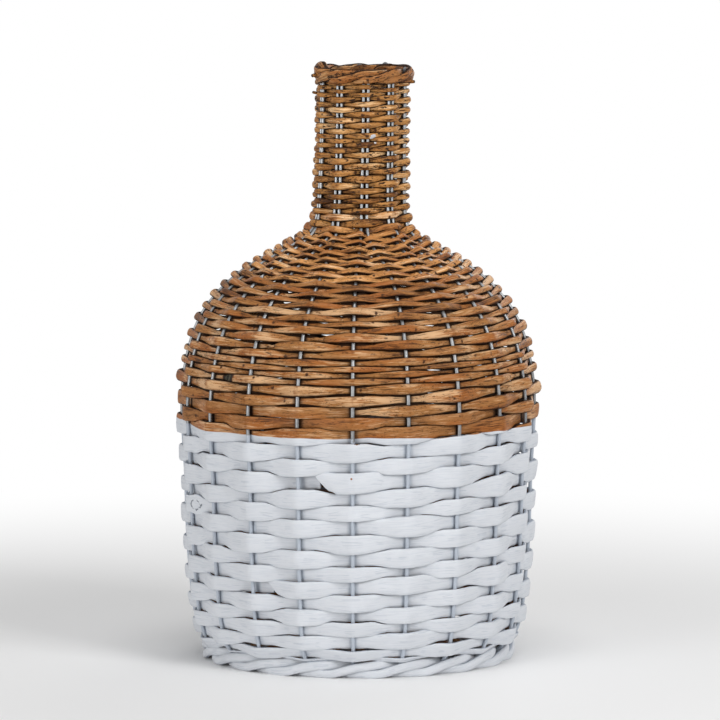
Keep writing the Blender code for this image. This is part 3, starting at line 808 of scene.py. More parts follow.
# %% Rows of weave
FOOT_ROD_DIAMETER = 0.0060
RIM_ROD_DIAMETER = 0.0052
WALE_CLEARANCE = 0.0006
WALE_TO_ROWS_GAP = 0.0003
FOOT_FLAT_DEPTH = 0.0005
TOP_ROW = 0.0032
ROW_SHARES = {
    "painted": [0.71, 1.18, 1.17, 0.95, 1.31, 1.19, 1.35, 1.05, 1.45, 1.3, 1.38, 1.02, 1.5, 1.3, 1.15, 1.5],
    "natural": [1.0, 0.95, 0.95, 0.95, 0.7, 0.57, 0.48, 0.45, 0.7, 0.7, 0.75, 0.7, 0.55, 0.5, 0.65, 0.65,
                0.57, 0.53, 0.6],
    "shoulder": [0.6, 0.6, 0.55, 0.55, 0.55, 0.55, 0.55, 0.45, 0.45, 0.6, 0.6, 0.45, 0.47, 0.48],
    "neck": [0.6, 0.55, 0.6, 0.5, 0.45, 0.4, 0.4, 0.38, 0.52, 0.55, 0.55, 0.5, 0.5, 0.5, 0.45, 0.4, 0.4,
             0.38, 0.42, 0.45, 0.45, 0.5, 0.45, 0.4, 0.45, 0.4, 0.3, 0.3, 0.4],
}
FOOT_LOW = FOOT_ROD_DIAMETER / 2 - FOOT_FLAT_DEPTH
FOOT_HIGH = FOOT_LOW + FOOT_ROD_DIAMETER + WALE_CLEARANCE
FOOT_INSIDE = SPOKE_HEIGHT + FOOT_BEND_RADIUS
ROWS_START = FOOT_INSIDE + FOOT_ROD_DIAMETER / 2 + WALE_TO_ROWS_GAP
RIM_HIGH = HEIGHT - WIRE_DIAMETER - RIM_ROD_DIAMETER / 2
RIM_LOW = RIM_HIGH - RIM_ROD_DIAMETER - WALE_CLEARANCE
ROWS_END = RIM_LOW - RIM_ROD_DIAMETER / 2 - WALE_TO_ROWS_GAP

rows_low, rows_high = np.interp((ROWS_START, ROWS_END), wall[:, 1], wall_knots)
row_heights = np.array([share for shares in ROW_SHARES.values() for share in shares])
row_tops = np.concatenate(([0.0], np.cumsum(row_heights)))
row_edges = rows_low + (rows_high - rows_low) * row_tops / row_heights.sum()
row_edges = np.append(row_edges, row_edges[-1] + TOP_ROW)
ROWS = len(row_heights)


def edge_at(row):
    """How far up the wall the lower edge of a row lies. A row may be a fraction."""
    return float(np.interp(row, np.arange(ROWS + 2), row_edges))


def pitch_at(row):
    return edge_at(row + 1) - edge_at(row)


print("rows:", ROWS, "height of the first:", round(pitch_at(0), 4))

# %% Where a rod meets the wires
SPIRAL_STARTS = (4, 14)
PAIRED_ROW = ROWS - len(ROW_SHARES["neck"])

Station = namedtuple("Station", "stake row paired outside")


def wires_passed(stake, paired):
    """Wires counted from the front one. A pair counts as two, and its middle lies between them."""
    return 2 * stake + 1 / 2 if paired else stake


def stations(spiral):
    """Every wire or pair that one spiral meets, in order, and whether it passes outside."""
    start = SPIRAL_STARTS[spiral]
    met = []
    stake = start
    while True:
        row = (stake - start) / HAIRPINS - 1
        if row >= PAIRED_ROW and stake % 4 == 0:
            break
        met.append(Station(stake, row, False, (stake + spiral) % 2 == 0))
        stake += 1
    pair = stake // 2
    while True:
        row = (wires_passed(pair, True) - start) / HAIRPINS - 1
        if row > ROWS:
            return met
        met.append(Station(pair, row, True, (pair + spiral) % 2 == 0))
        pair += 1


print("stations of the first spiral:", len(stations(0)))

# %% [markdown]
# ## The path of a rod
# A willow rod runs almost straight from one outside bend to the next and is bent hard where it
# rides over a wire. So the path is first made of straight runs between stations, and then
# smoothed over a few millimetres, which rounds the bends and leaves the runs straight. A value
# called phase says where a point is: 1 right over a wire, -1 right behind one. It steers the
# width: a rod bulges where it shows and is squeezed where its neighbours cover it.

# %% Follow the weave
STEP = 0.001
WEAVE_CLEARANCE = 0.00028
PAIR_CREST_OVERHANG = 0.0004
STEEPEST_PLAIN_SHARE = 0.12


def weave_offset(radius, height, depth, paired):
    """How far from the wires' middle the rod's middle lies where it passes one."""
    straight = WIRE_RADIUS + WEAVE_CLEARANCE + depth / 2
    if paired:
        return straight
    step = leg_angle(1, radius, height) - leg_angle(0, radius, height)
    fall = 2 * straight + radius * (1 - math.cos(step))
    steepness = math.atan2(fall, radius * math.sin(step))
    return (WIRE_RADIUS + WEAVE_CLEARANCE) / math.cos(steepness) + depth / 2


def station_points(station, thickness):
    """[(place, pitch, tilt, phase, wires passed)] of a rod at one wire or pair."""
    stake, row, paired, outside = station
    pitch = pitch_at(row)
    radius, height, out, up = wall_at((edge_at(row) + edge_at(row + 1)) / 2)
    offset = weave_offset(radius, height, thickness * pitch, paired)
    step = PAIR_STEP if paired else LEG_STEP
    angle = pair_angle(stake, radius, height) if paired else leg_angle(stake, radius, height)
    crest = math.asin((PAIR_SPACING / 2 + PAIR_CREST_OVERHANG) / radius) if paired else 0.0
    evenly_set = paired or height < SHOULDER_HEIGHT or radius > UPRIGHT_RADIUS
    if not outside:
        straight_run = (radius + offset) * math.cos(step - crest)
        if evenly_set and abs(up) < STEEPEST_PLAIN_SHARE and straight_run <= radius - offset:
            offset = radius - straight_run
        offset = -offset
        crest = 0.0
    turns = [-crest, crest] if crest else [0.0]
    rest = (pitch, -math.atan2(up, out), 1.0 if outside else -1.0, wires_passed(stake, paired))
    return [(placed(radius + offset * out, angle + t, height + offset * up), *rest) for t in turns]


def smoothed(values, reach):
    """values averaged along the path, with a soft window of about the given reach."""
    taps = np.arange(-int(3 * reach / STEP), int(3 * reach / STEP) + 1) * STEP
    window = np.exp(-0.5 * (taps / reach) ** 2)
    window /= window.sum()
    pad = len(taps) // 2
    before = 2 * values[:1] - values[1:pad + 1][::-1]
    after = 2 * values[-1:] - values[-pad - 1:-1][::-1]
    padded = np.concatenate((before, values, after))
    return np.column_stack([np.convolve(column, window, mode="valid") for column in padded.T])


def rounded_path(points, bend):
    """Evenly spaced places along straight runs whose corners are rounded over the bend's reach."""
    places = np.array([p[0] for p in points])
    rest = np.array([p[1:] for p in points])
    knots = lengths_along(places)
    at = np.arange(0.0, knots[-1], STEP)
    places = read_columns(at, knots, places)
    once = smoothed(places, bend)
    return 2 * once - smoothed(once, bend), read_columns(at, knots, rest), knots


print("a rod keeps", WEAVE_CLEARANCE, "m clear of the wires")

# %% [markdown]
# ## Sweeping and shaping a rod
# The section is a flat or nearly round oval. A curve carries it along the path, wider and
# narrower as the rod swells, and is turned into a mesh. Then the rings of that mesh are pushed
# about a little, as one would with a sculpting brush: long shallow ridges, small bends up and
# down, cut ends. The same pass stores the attributes that the finishes read.
#
# Rods that lie on each other press each other flat, so two neighbours share one edge: where the
# lower one bulges over a wire, the upper one gives way. The edges are drawn first, for each
# spiral, and a rod then takes its lower and its upper one.

# %% Edges shared by neighbouring rods
# How far an edge is pushed over, as a share of the row's height, least and most.
EDGE_PUSH_SHARES = {
    "painted": (0.02, 0.21), "natural": (0.03, 0.15), "shoulder": (0.05, 0.16), "neck": (0.08, 0.20),
}
# How far to each side of a wire the edge keeps that push, as a share of the way to the next.
EDGE_FLAT_SHARES = {
    "painted": (0.18, 0.44), "natural": (0.06, 0.34), "shoulder": (0.05, 0.25), "neck": (0.05, 0.25),
}
LAPS_BEHIND = (0, LEGS)


def band_at(row):
    """The part of the wall that a row belongs to. Past the last row, that is the neck."""
    first = 0
    for name, shares in ROW_SHARES.items():
        first += len(shares)
        if row < first:
            break
    return name


def edge_line(spiral):
    """Where the upper edge of one spiral's rods lies: wires passed, and push up or down there."""
    rng = random.Random(40 + spiral)
    at, pushed = [], []
    for stake, row, paired, outside in stations(spiral):
        passed = wires_passed(stake, paired)
        band = band_at(row)
        push = rng.uniform(*EDGE_PUSH_SHARES[band]) * (1 if outside else -1)
        wide = 2 if paired else 1
        flat = EDGE_FLAT_SHARES[band]
        at += [passed - wide * rng.uniform(*flat), passed + wide * rng.uniform(*flat)]
        pushed += [push, push * rng.uniform(0.7, 1.0)]
    return np.array(at), np.array(pushed)


edge_lines = [edge_line(spiral) for spiral in range(2)]


def edges_of(spiral, passed):
    """Push of a rod's lower and upper edge. The lower one is the other spiral's upper one."""
    upper = np.interp(passed, *edge_lines[spiral])
    lower = np.interp(passed - LAPS_BEHIND[spiral], *edge_lines[1 - spiral])
    return lower, upper


print("edge points:", [len(line[0]) for line in edge_lines])

# %% The section of a rod
RINGS = 16


def section_curve(name, thickness, squareness):
    """An oval one unit wide and as thick as given, its outer side to +X, run clockwise."""
    turns = -np.arange(RINGS) * math.tau / RINGS
    power = 2 / squareness
    x = np.sign(np.cos(turns)) * np.abs(np.cos(turns)) ** power * thickness / 2
    y = np.sign(np.sin(turns)) * np.abs(np.sin(turns)) ** power / 2
    section = new_curve(name, np.column_stack((x, y, np.zeros(RINGS))))
    section.data.dimensions = "2D"
    section.data.splines[0].use_cyclic_u = True
    return section, np.column_stack((x, y))


print("corners of a section:", RINGS)

# %% Sweep a rod
RIDGE_WAVES = (2, 3, 5)
RIDGE_WANDER = 0.06
SLANT_REACH = 0.020
NO_MARKS = {label: np.zeros(1) for label in ("crest", "cut", "tuck", "knot")}
NO_MARKS |= {"low": np.full(1, -1.0), "high": np.full(1, 1.0)}


def wander(at, spacing, rng):
    """Smooth random values between -1 and 1 that change over the given spacing."""
    count = int(at[-1] / spacing) + 4
    values = np.array([rng.uniform(-1, 1) for _ in range(count)])
    where = at / spacing + rng.random()
    i = where.astype(int)
    share = eased(where - i)
    return values[i] * (1 - share) + values[i + 1] * share


def fade(at, start, end):
    """0 before start, 1 after end, smooth between; start may lie beyond end."""
    return eased(np.clip((at - start) / (end - start), 0.0, 1.0))


def store(mesh, name, values, kind):
    """Writes one value for each point of the rings, and the same for the two caps."""
    flat = np.concatenate((values[-1:], values[:1], values)).astype(np.float32)
    made = mesh.attributes.new(name, kind, "POINT")
    made.data.foreach_set("vector" if kind == "FLOAT_VECTOR" else "value", flat.ravel())


def shape_rings(rings, places, lengths, widths, outline, rng, ridge, slants):
    """Ridges along the rod, slanting ends, and nothing below the floor."""
    swell = np.ones(rings.shape[:2])
    turns = np.arange(RINGS) * math.tau / RINGS
    for waves in RIDGE_WAVES:
        phase = rng.uniform(0, math.tau) + 1.2 * wander(lengths, RIDGE_WANDER, rng)
        swell += ridge / waves**0.5 * np.sin(waves * turns[None, :] + phase[:, None])
    rings[:] = places[:, None, :] + (rings - places[:, None, :]) * swell[:, :, None]
    ahead = unit_rows(np.gradient(places, axis=0))
    slanted = slants[0] * fade(lengths, SLANT_REACH, 0.0)
    slanted = slanted + slants[1] * fade(lengths[-1] - lengths, SLANT_REACH, 0.0)
    rings += (slanted * widths)[:, None, None] * outline[None, :, 1, None] * ahead[:, None, :]
    rings[:, :, 2] = np.maximum(rings[:, :, 2], 0.0)


def sweep(name, places, widths, tilts, section, marks, rng, ridge=0.03, slants=(0.0, 0.0)):
    """A finished rod. marks holds the values for its attributes, one for each ring."""
    shape, outline = section
    curve = new_curve(name, places, widths, tilts)
    curve.data.bevel_mode = "OBJECT"
    curve.data.bevel_object = shape
    rod = to_mesh(curve)
    mesh = rod.data
    count = len(places)
    verts = np.empty(len(mesh.vertices) * 3)
    mesh.vertices.foreach_get("co", verts)
    verts = verts.reshape(-1, 3)
    assert len(verts) == (count + 2) * RINGS, (name, len(verts), count)
    rings = verts[2 * RINGS:].reshape(count, RINGS, 3)
    lengths = lengths_along(places)
    shape_rings(rings, places, lengths, widths, outline, rng, ridge, slants)
    verts[:RINGS] = rings[-1]
    verts[RINGS:2 * RINGS] = rings[0]
    mesh.vertices.foreach_set("co", verts.ravel())
    straight = np.empty((count, RINGS, 3))
    straight[:, :, 0] = (lengths + rng.uniform(0, 50))[:, None]
    straight[:, :, 1:] = outline[None, :, :] * widths[:, None, None]
    store(mesh, "rod", straight, "FLOAT_VECTOR")
    for label, values in (NO_MARKS | {"face": outline[None, :, 0] / outline[:, 0].max()} | marks).items():
        values = values if values.ndim == 2 else values[:, None]
        store(mesh, label, np.broadcast_to(values, (count, RINGS)), "FLOAT")
    mesh.update()
    weld(rod)
    return rod


print("marks on a rod:", sorted(NO_MARKS))

# %% Cut ends and knots
END_RINGS = np.array((0.0003, 0.0009))
END_NARROWING = (0.82, 0.94)
SPOT_SIZE = 0.0013


def with_end_rings(at):
    """Two more rings close to each end, so that the cut has a crisp edge."""
    return np.concatenate((at[:1], at[0] + END_RINGS, at[1:-1], at[-1] - END_RINGS[::-1], at[-1:]))


def cut_ends(widths):
    """Rounds off the two outermost rings at each end, and gives the marks of the cut."""
    cut = np.zeros(len(widths))
    for ring, share in enumerate(END_NARROWING):
        widths[[ring, -1 - ring]] *= share
        cut[[ring, -1 - ring]] = 1.0
    return cut


def scattered_knots(count, least, most, rng):
    """Where a rod's small knots lie: along it, and across its outer side."""
    along = np.cumsum([rng.uniform(least, most) for _ in range(count)])
    return along, [rng.uniform(-0.3, 0.3) for _ in along]


def spots_on(own, widths, places, heights, outline, size=SPOT_SIZE, stretch=1.0):
    """1 in the middle of a small round spot at each of the places, on the rod's outer side."""
    spots = np.zeros((len(own), RINGS))
    for place, height in zip(places, heights):
        along = (own - place)[:, None] / stretch
        across = (outline[None, :, 1] - height) * widths[:, None]
        spots += np.exp(-0.5 * (along**2 + across**2) / size**2) * (outline[None, :, 0] > 0)
    return spots


print("small knots are about", 2000 * SPOT_SIZE, "mm across")

# %% [markdown]
# ## Rods round the wall
# Every rod ends behind a wire, where the next one starts. At most joins the two ends just meet
# there. At a few, the old rod's tip reaches on for about two centimetres, and the new rod lies
# behind it, so one sees a small cut end and the new rod coming out from under it. In a few places
# the new rod's thick end lies on top instead.
#
# The rods could be copies of one model, but on a basket no two bends are alike. So each is swept
# on its own path, with its own swellings, knots and tones, from one function and a list of where
# the rods start.

# %% Where the rods of the wall start, and what they are like
# A join is how the old rod ends and how the new one starts.
HIDDEN = ("hidden", "hidden")
ON_TOP = ("behind", "on top")
UNDER_TIP = ("tip", "behind")
# The row at which each rod of the two spirals starts, and its join to the rod before it.
ROD_STARTS = {
    "painted": [
        [(-1.0, HIDDEN), (4.0, HIDDEN), (8.3, HIDDEN), (12.5, ON_TOP)],
        [(-1.0, HIDDEN), (5.4, ON_TOP), (9.4, HIDDEN), (13.4, HIDDEN)],
    ],
    "natural": [
        [(16.9, UNDER_TIP), (18.9, UNDER_TIP), (26.5, UNDER_TIP), (30.7, HIDDEN)],
        [(17.6, HIDDEN), (21.4, HIDDEN), (25.4, UNDER_TIP), (31.4, HIDDEN)],
    ],
    "shoulder": [[(35.0, HIDDEN), (42.0, HIDDEN)], [(37.4, HIDDEN), (44.4, HIDDEN)]],
    "neck": [
        [(49.0, HIDDEN), (58.7, HIDDEN), (68.3, HIDDEN)],
        [(52.4, HIDDEN), (62.0, HIDDEN), (71.7, HIDDEN)],
    ],
}
# thickness as a share of the row, squareness, extra width behind a wire, reach of a bend, ring
# spacing, gap between rods and how much it varies, ridges, spread of tone, the phases between
# which painted shade darkens a rod as it goes behind a wire, and by what share painted shade
# narrows the rod's visible height there
Band = namedtuple("Band", "thickness squareness behind bend spacing gap ridge tones tucked pinched")
BANDS = {
    "painted": Band(0.28, 3.2, 0.16, 0.0036, 0.0026, (-0.0003, 0.0014), 0.03, 0.15, (-0.80, -0.93), 0.0),
    "natural": Band(0.58, 2.1, 0.24, 0.0024, 0.0022, (0.0003, 0.0009), 0.05, 0.34, (-0.80, -0.90), 0.42),
    "shoulder": Band(0.55, 2.1, 0.30, 0.0016, 0.0018, (0.0002, 0.0004), 0.05, 0.34, (-0.80, -0.92), 0.15),
    "neck": Band(0.66, 2.1, 0.34, 0.0016, 0.0017, (0.0001, 0.0003), 0.06, 0.30, (-0.54, -0.68), 0.50),
}
sections = {name: section_curve(f"{name}_section", *band[:2]) for name, band in BANDS.items()}
print("bands:", list(BANDS))

# %% The ends of a wall rod
OVERLAP = 0.018
HIDDEN_OVERLAP = 0.003
BUTT_START = 0.019
BUTT_SLANT = -1.0
TIP_SLANT = 0.35
TIP_LENGTH = 0.030
TIP_WIDTH_SHARE = 0.45
START_SHIFTS = {"plain": 0.0, "hidden": -HIDDEN_OVERLAP, "on top": BUTT_START, "behind": 0.0}
END_REACHES = {"plain": HIDDEN_OVERLAP, "hidden": HIDDEN_OVERLAP, "behind": OVERLAP, "tip": OVERLAP}


def wall_path(met, first, last, band):
    """A rod's path, a little longer than the rod, and where the rod starts and ends on it."""
    points = []
    begins = {}
    for i in range(max(first - 1, 0), min(last + 2, len(met) - 1) + 1):
        begins[i] = len(points)
        points += station_points(met[i], band.thickness)
    places, rest, knots = rounded_path(points, band.bend)
    return places, rest, knots[begins[first]], knots[begins[last]]


def lay_ends_behind(places, normal, depth, own, at_start, at_end):
    """An end that lies behind another rod sinks in by the rod's own depth."""
    if at_start == "behind":
        places = places - normal * (depth * (1 - fade(own, 0.6 * OVERLAP, 1.3 * OVERLAP)))[:, None]
    if at_end == "behind":
        left = own[-1] - own
        places = places - normal * (depth * (1 - fade(left, 1.2 * OVERLAP, 2.2 * OVERLAP)))[:, None]
    return places


print("rods overlap by", OVERLAP, "m")

# %% One rod of the wall
UPWARD = np.array((0.0, 0.0, 1.0))
LIFT_BEHIND_SHARE = 0.9
KNOT_SPACING = (0.05, 0.16)
KNOT_LENGTH = 0.0022
KNOT_SWELL = 0.05
# The two large knots on the front: where, and how many times as long as high.
BIG_KNOTS = [((-0.1096, -0.0989, 0.2505), 1.25), ((-0.1363, -0.0564, 0.1371), 2.0)]
BIG_KNOT_REACH = 0.0040
BIG_KNOT_SIZE = 0.0031
BIG_KNOT_MARK = 4.0
BIG_KNOT_SWELL = 0.22
BIG_KNOT_SWELL_REACH = 0.005
BOW = 0.0003
TURN = math.radians(7)
MIDDLE_TONE = 0.42


def wall_rod(label, name, spiral, met, first, last, at_start, at_end, rng):
    """A rod that runs from its first station to its last."""
    band = BANDS[name]
    outline = sections[name][1]
    places, rest, start, end = wall_path(met, first, last, band)
    at_all = np.arange(len(places)) * STEP
    start += START_SHIFTS[at_start]
    end = min(end + END_REACHES[at_end], at_all[-1])
    at = with_end_rings(np.linspace(start, end, int((end - start) / band.spacing) + 1))
    places = read_columns(at, at_all, places)
    pitch, tilt, phase, passed = read_columns(at, at_all, rest).T
    own = at - at[0]

    lower, upper = edges_of(spiral, passed)
    gaps = band.gap[0] + band.gap[1] * fade(wander(own, 0.035, rng), 0.45, 0.80)
    hidden = fade(phase, -0.32, -0.78)
    tucked = hidden * LIFT_BEHIND_SHARE * np.maximum(0.0, np.sin(-tilt))
    widths = pitch * (1 + upper - lower + band.behind * hidden + tucked) - gaps * (1 - hidden)
    shift = pitch * (upper + lower + tucked) / 2
    # Past the low and high marks the finish lays near-black painted shade; behind a wire the pinched share
    # moves them in, so the rod looks covered by its neighbours.
    covered = 1 - band.pinched * fade(phase, 0.25, -0.80)
    half = covered * (pitch * (1 + upper - lower) - gaps) / 2

    knots_along, knots_across = scattered_knots(int(own[-1] / KNOT_SPACING[0]) + 2, *KNOT_SPACING, rng)
    spots = spots_on(own, widths, knots_along, knots_across, outline)
    swelling = sum(np.exp(-0.5 * ((own - place) / KNOT_LENGTH) ** 2) for place in knots_along)
    widths *= 1 + 0.02 * wander(own, 0.012, rng) + KNOT_SWELL * swelling
    for centre, stretch in BIG_KNOTS:
        away = np.linalg.norm(places - np.array(centre), axis=1)
        if away.min() < BIG_KNOT_REACH:
            middle = [own[away.argmin()]]
            spots += BIG_KNOT_MARK * spots_on(own, widths, middle, [0.0], outline, BIG_KNOT_SIZE, stretch)
            widths *= 1 + BIG_KNOT_SWELL * np.exp(-0.5 * (away / BIG_KNOT_SWELL_REACH) ** 2)
    if at_end == "tip":
        widths *= TIP_WIDTH_SHARE + (1 - TIP_WIDTH_SHARE) * fade(own[-1] - own, 0.0, TIP_LENGTH)
    cut = cut_ends(widths)

    outward = unit_rows(places * (1.0, 1.0, 0.0))
    normal = outward * np.cos(tilt)[:, None] - UPWARD * np.sin(tilt)[:, None]
    upward = UPWARD * np.cos(tilt)[:, None] + outward * np.sin(tilt)[:, None]
    places = places + upward * shift[:, None]
    places = places + normal * (BOW * wander(own, 0.03, rng))[:, None]
    places = lay_ends_behind(places, normal, band.thickness * pitch, own, at_start, at_end)
    tilt = tilt + TURN * wander(own, 0.03, rng)

    tone = wander(own, 0.07, rng) + 0.8 * wander(own, 0.02, rng) + 0.6 * rng.uniform(-1, 1)
    # The tuck mark and the low and high marks carry painted shade for the finish.
    marks = {
        "crest": np.clip((phase - 0.55) / 0.45, 0, 1), "cut": cut, "tone": MIDDLE_TONE + band.tones * tone,
        "tuck": fade(phase, *band.tucked), "knot": spots,
        "low": -half - pitch * tucked / 2, "high": half - pitch * tucked / 2,
    }
    slants = (BUTT_SLANT if at_start == "on top" else 0.0, TIP_SLANT if at_end == "tip" else 0.0)
    return sweep(label, places, widths, tilt, sections[name], marks, rng, band.ridge, slants)


print("small knots every", KNOT_SPACING, "m")

# %% Weave the wall
THINNEST_ROW = 0.0020

numbers = dict.fromkeys(BANDS, 0)
for spiral in range(2):
    met = [station for station in stations(spiral) if pitch_at(station.row) > THINNEST_ROW]
    starts = [(name, row, join) for name in BANDS for row, join in ROD_STARTS[name][spiral]]
    limits = [0]
    for _, row, _ in starts[1:]:
        limits.append(next(i for i, station in enumerate(met) if station.row >= row and not station.outside))
    limits.append(len(met) - 1)
    for number, (name, row, join) in enumerate(starts):
        numbers[name] += 1
        at_start = join[1] if number else "plain"
        at_end = starts[number + 1][2][0] if number + 1 < len(starts) else "plain"
        rng = random.Random(1000 * spiral + number)
        label = f"{name}_willow_{numbers[name]:02d}"
        rod = wall_rod(label, name, spiral, met, *limits[number:number + 2], at_start, at_end, rng)
        hand_over(rod, ROD_FINISHES[name], f"{name}_rod_{numbers[name]:02d}")
print("wall rods:", numbers)

# %% [markdown]
# ## The foot and the rim
# Three rods worked together finish the foot and the rim. Each passes outside two wires and inside
# the third, one wire apart from the next rod, so their bends lie against one another like the
# strands of a rope: a basket maker calls it a wale. Their paths come from the solids, with three
# places in turn: low outside, high outside, inside. The rim's rods are short and knotty, so they
# get more lumps, and one large one at the left.

# %% The route of a wale rod
WALE_SWELL = 0.06
WALE_EDGE_SHARE = 0.41
WALE_KNOT_SPACING = (0.02, 0.07)
FOOT_LUMPS = 0.04
RIM_LUMPS = 0.17
RIM_KNOT = np.array((-0.0380, 0.0, 0.5035))
RIM_KNOT_SIZE = 0.0070
RIM_KNOT_SWELL = 0.22
RIM_KNOT_PUSH = np.array((0.0040, 0.0, 0.0052))


def wale_route(rod, count, angle_at, at_stake, between, reach):
    """[(place, phase)] of one of the three rods. reach is half the width of a pair of wires."""
    start = (2 - rod) % 3
    stop = count + (2 - (rod + count)) % 3
    route = []
    for station in range(start, stop + 1):
        phase = (station + rod) % 3
        radius, height = at_stake[phase]
        turns = [-reach / radius, reach / radius] if reach else [0.0]
        if station == start:
            turns = turns[-1:]
        elif station == stop:
            turns = turns[:1]
        shown = -1.0 if phase == 2 else 0.5
        route += [(placed(radius, angle_at(station) + turn, height), shown) for turn in turns]
        if station < stop:
            radius, height = between[phase]
            middle = (angle_at(station) + angle_at(station + 1)) / 2
            route.append((placed(radius, middle, height), 0.0))
    return route


def wale_rod(label, route, width, bend, spacing, section, lumps, ridge, rng):
    places, rest, knots = rounded_path(route, bend)
    at_all = np.arange(len(places)) * STEP
    at = with_end_rings(np.linspace(0.0, at_all[-1], int(knots[-1] / spacing)))
    places = read_columns(at, at_all, places)
    phase = np.interp(at, at_all, rest[:, 0])
    uneven = lumps * wander(at, 0.022, rng) + lumps / 2 * wander(at, 0.007, rng)
    widths = width * (1 + WALE_SWELL * phase + uneven)
    near = np.exp(-0.5 * (np.linalg.norm(places - RIM_KNOT, axis=1) / RIM_KNOT_SIZE) ** 2)
    widths *= 1 + RIM_KNOT_SWELL * near
    places = places + near[:, None] * RIM_KNOT_PUSH
    cut = cut_ends(widths)
    knots_along, knots_across = scattered_knots(int(at[-1] / WALE_KNOT_SPACING[0]), *WALE_KNOT_SPACING, rng)
    spots = spots_on(at, widths, knots_along, knots_across, section[1])
    # Painted shade: the tuck mark darkens a strand where it goes inside, and past the low and high marks its
    # edges turn near black.
    marks = {
        "crest": np.clip(phase, 0, 1) * 0.4, "cut": cut, "tuck": fade(phase, -0.4, -1.0) * 0.6,
        "tone": 0.40 + 0.35 * wander(at, 0.05, rng), "knot": lumps / RIM_LUMPS * spots,
        "low": -WALE_EDGE_SHARE * widths, "high": WALE_EDGE_SHARE * widths,
    }
    tilts = 0.22 * wander(at, 0.05, rng)
    return sweep(label, places, widths, tilts, section, marks, rng, ridge)


def between_places(shares, inner, outer, low, high):
    return [(lerp(inner, outer, out), lerp(low, high, up)) for out, up in shares]


def work_wale(name, seed, slot, finish, route_of, *shape):
    """The three rods of a wale."""
    for i in range(3):
        piece = wale_rod(f"{name}_willow_{i + 1}", route_of(i), *shape, random.Random(seed + i))
        hand_over(piece, finish, f"{name}_rod_{i + 1}")


print("a wale has three rods, each over two and under one")

# %% Work the foot
FOOT_UPPER_STRAND_BULGE = 0.0005
FOOT_PRESSED = 0.0010
FOOT_WIDTH_SHARE = 1.30
FOOT_BETWEEN_SHARES = [(1.01, 0.02), (0.77, 1.25), (-0.10, 0.24)]

foot_reach = WIRE_RADIUS + WEAVE_CLEARANCE + FOOT_ROD_DIAMETER / 2
foot_inner, foot_outer = FOOT_RADIUS - foot_reach, FOOT_RADIUS + foot_reach
low_reach = math.sqrt((FOOT_BEND_RADIUS + foot_reach) ** 2 - (FOOT_INSIDE - FOOT_LOW) ** 2)
foot_places = [
    (FOOT_RADIUS - FOOT_BEND_RADIUS + low_reach, FOOT_LOW + FOOT_PRESSED),
    (foot_outer + FOOT_UPPER_STRAND_BULGE, FOOT_HIGH - FOOT_PRESSED / 2),
    (foot_inner, FOOT_INSIDE),
]
foot_between = between_places(FOOT_BETWEEN_SHARES, foot_inner, foot_outer, FOOT_LOW, FOOT_HIGH)
foot_shape = (FOOT_WIDTH_SHARE * FOOT_ROD_DIAMETER, 0.007, 0.003, section_curve("foot_section", 0.74, 2.4))


def foot_angle(leg):
    return leg_angle(leg, FOOT_RADIUS, 0.0)


def foot_route(rod):
    return wale_route(rod, LEGS, foot_angle, foot_places, foot_between, 0.0)


work_wale("foot", 70, "willow_painted", ROD_FINISHES["painted"], foot_route, *foot_shape, FOOT_LUMPS, 0.04)
print("foot rods reach out to", round(foot_outer, 4))

# %% Work the rim
RIM_WIDTH = 1.28 * RIM_ROD_DIAMETER
RIM_DEPTH_SHARE = 0.66
RIM_CLEARANCE = 0.0002
RIM_WIRE_SHARE = 1.15
RIM_RAISED = -0.0004
RIM_BETWEEN_SHARES = [(1.19, 0.45), (0.50, 1.03), (0.50, -0.03)]

rim_reach = RIM_WIRE_SHARE * WIRE_RADIUS + RIM_CLEARANCE + RIM_DEPTH_SHARE * RIM_WIDTH / 2
rim_inner, rim_outer = NECK_RADIUS - rim_reach, NECK_RADIUS + rim_reach
rim_low, rim_high = RIM_LOW + RIM_RAISED, RIM_HIGH + RIM_RAISED
rim_places = [(rim_outer, rim_low), (rim_outer, rim_high), (rim_inner, rim_high)]
rim_between = between_places(RIM_BETWEEN_SHARES, rim_inner, rim_outer, rim_low, rim_high)
rim_shape = (RIM_WIDTH, 0.003, 0.0018, section_curve("rim_section", RIM_DEPTH_SHARE, 2.2))
across_pair = PAIR_SPACING / 2 + PAIR_CREST_OVERHANG


def rim_angle(pair):
    return pair_angle(pair, NECK_RADIUS, HEIGHT)


def rim_route(rod):
    return wale_route(rod, HAIRPINS, rim_angle, rim_places, rim_between, across_pair)


work_wale("rim", 80, "willow_natural", ROD_FINISHES["rim"], rim_route, *rim_shape, RIM_LUMPS, 0.15)
print("rim rods reach out to", round(rim_outer, 4))

# %% [markdown]
# ## Rod ends that poke out
# A rod has to be trimmed with a knife, and near the mouth a few short ends were left standing out
# between the rows. They have no solid of their own, so they are added as three small pieces, each
# swept along a straight line that starts inside the weave.

# %% Rod ends that poke out of the neck
# Where an end starts and stops, and its width.
ENDS = [
    ((0.0395, -0.0040, 0.4928), (0.0482, -0.0075, 0.4936), 0.0032),
    ((-0.0335, -0.0120, 0.5005), (-0.0392, -0.0170, 0.4992), 0.0030),
    ((-0.0330, -0.0090, 0.4836), (-0.0386, -0.0120, 0.4850), 0.0026),
]
# Shares of its length and of its width, ring by ring.
END_SHARES = np.array((0.0, 0.25, 0.5, 0.75, 0.92, 0.97, 1.0))
END_WIDTHS = np.array((1.0, 1.05, 1.0, 0.95, 0.9, 0.85, 0.7))
END_RIDGE = 0.08

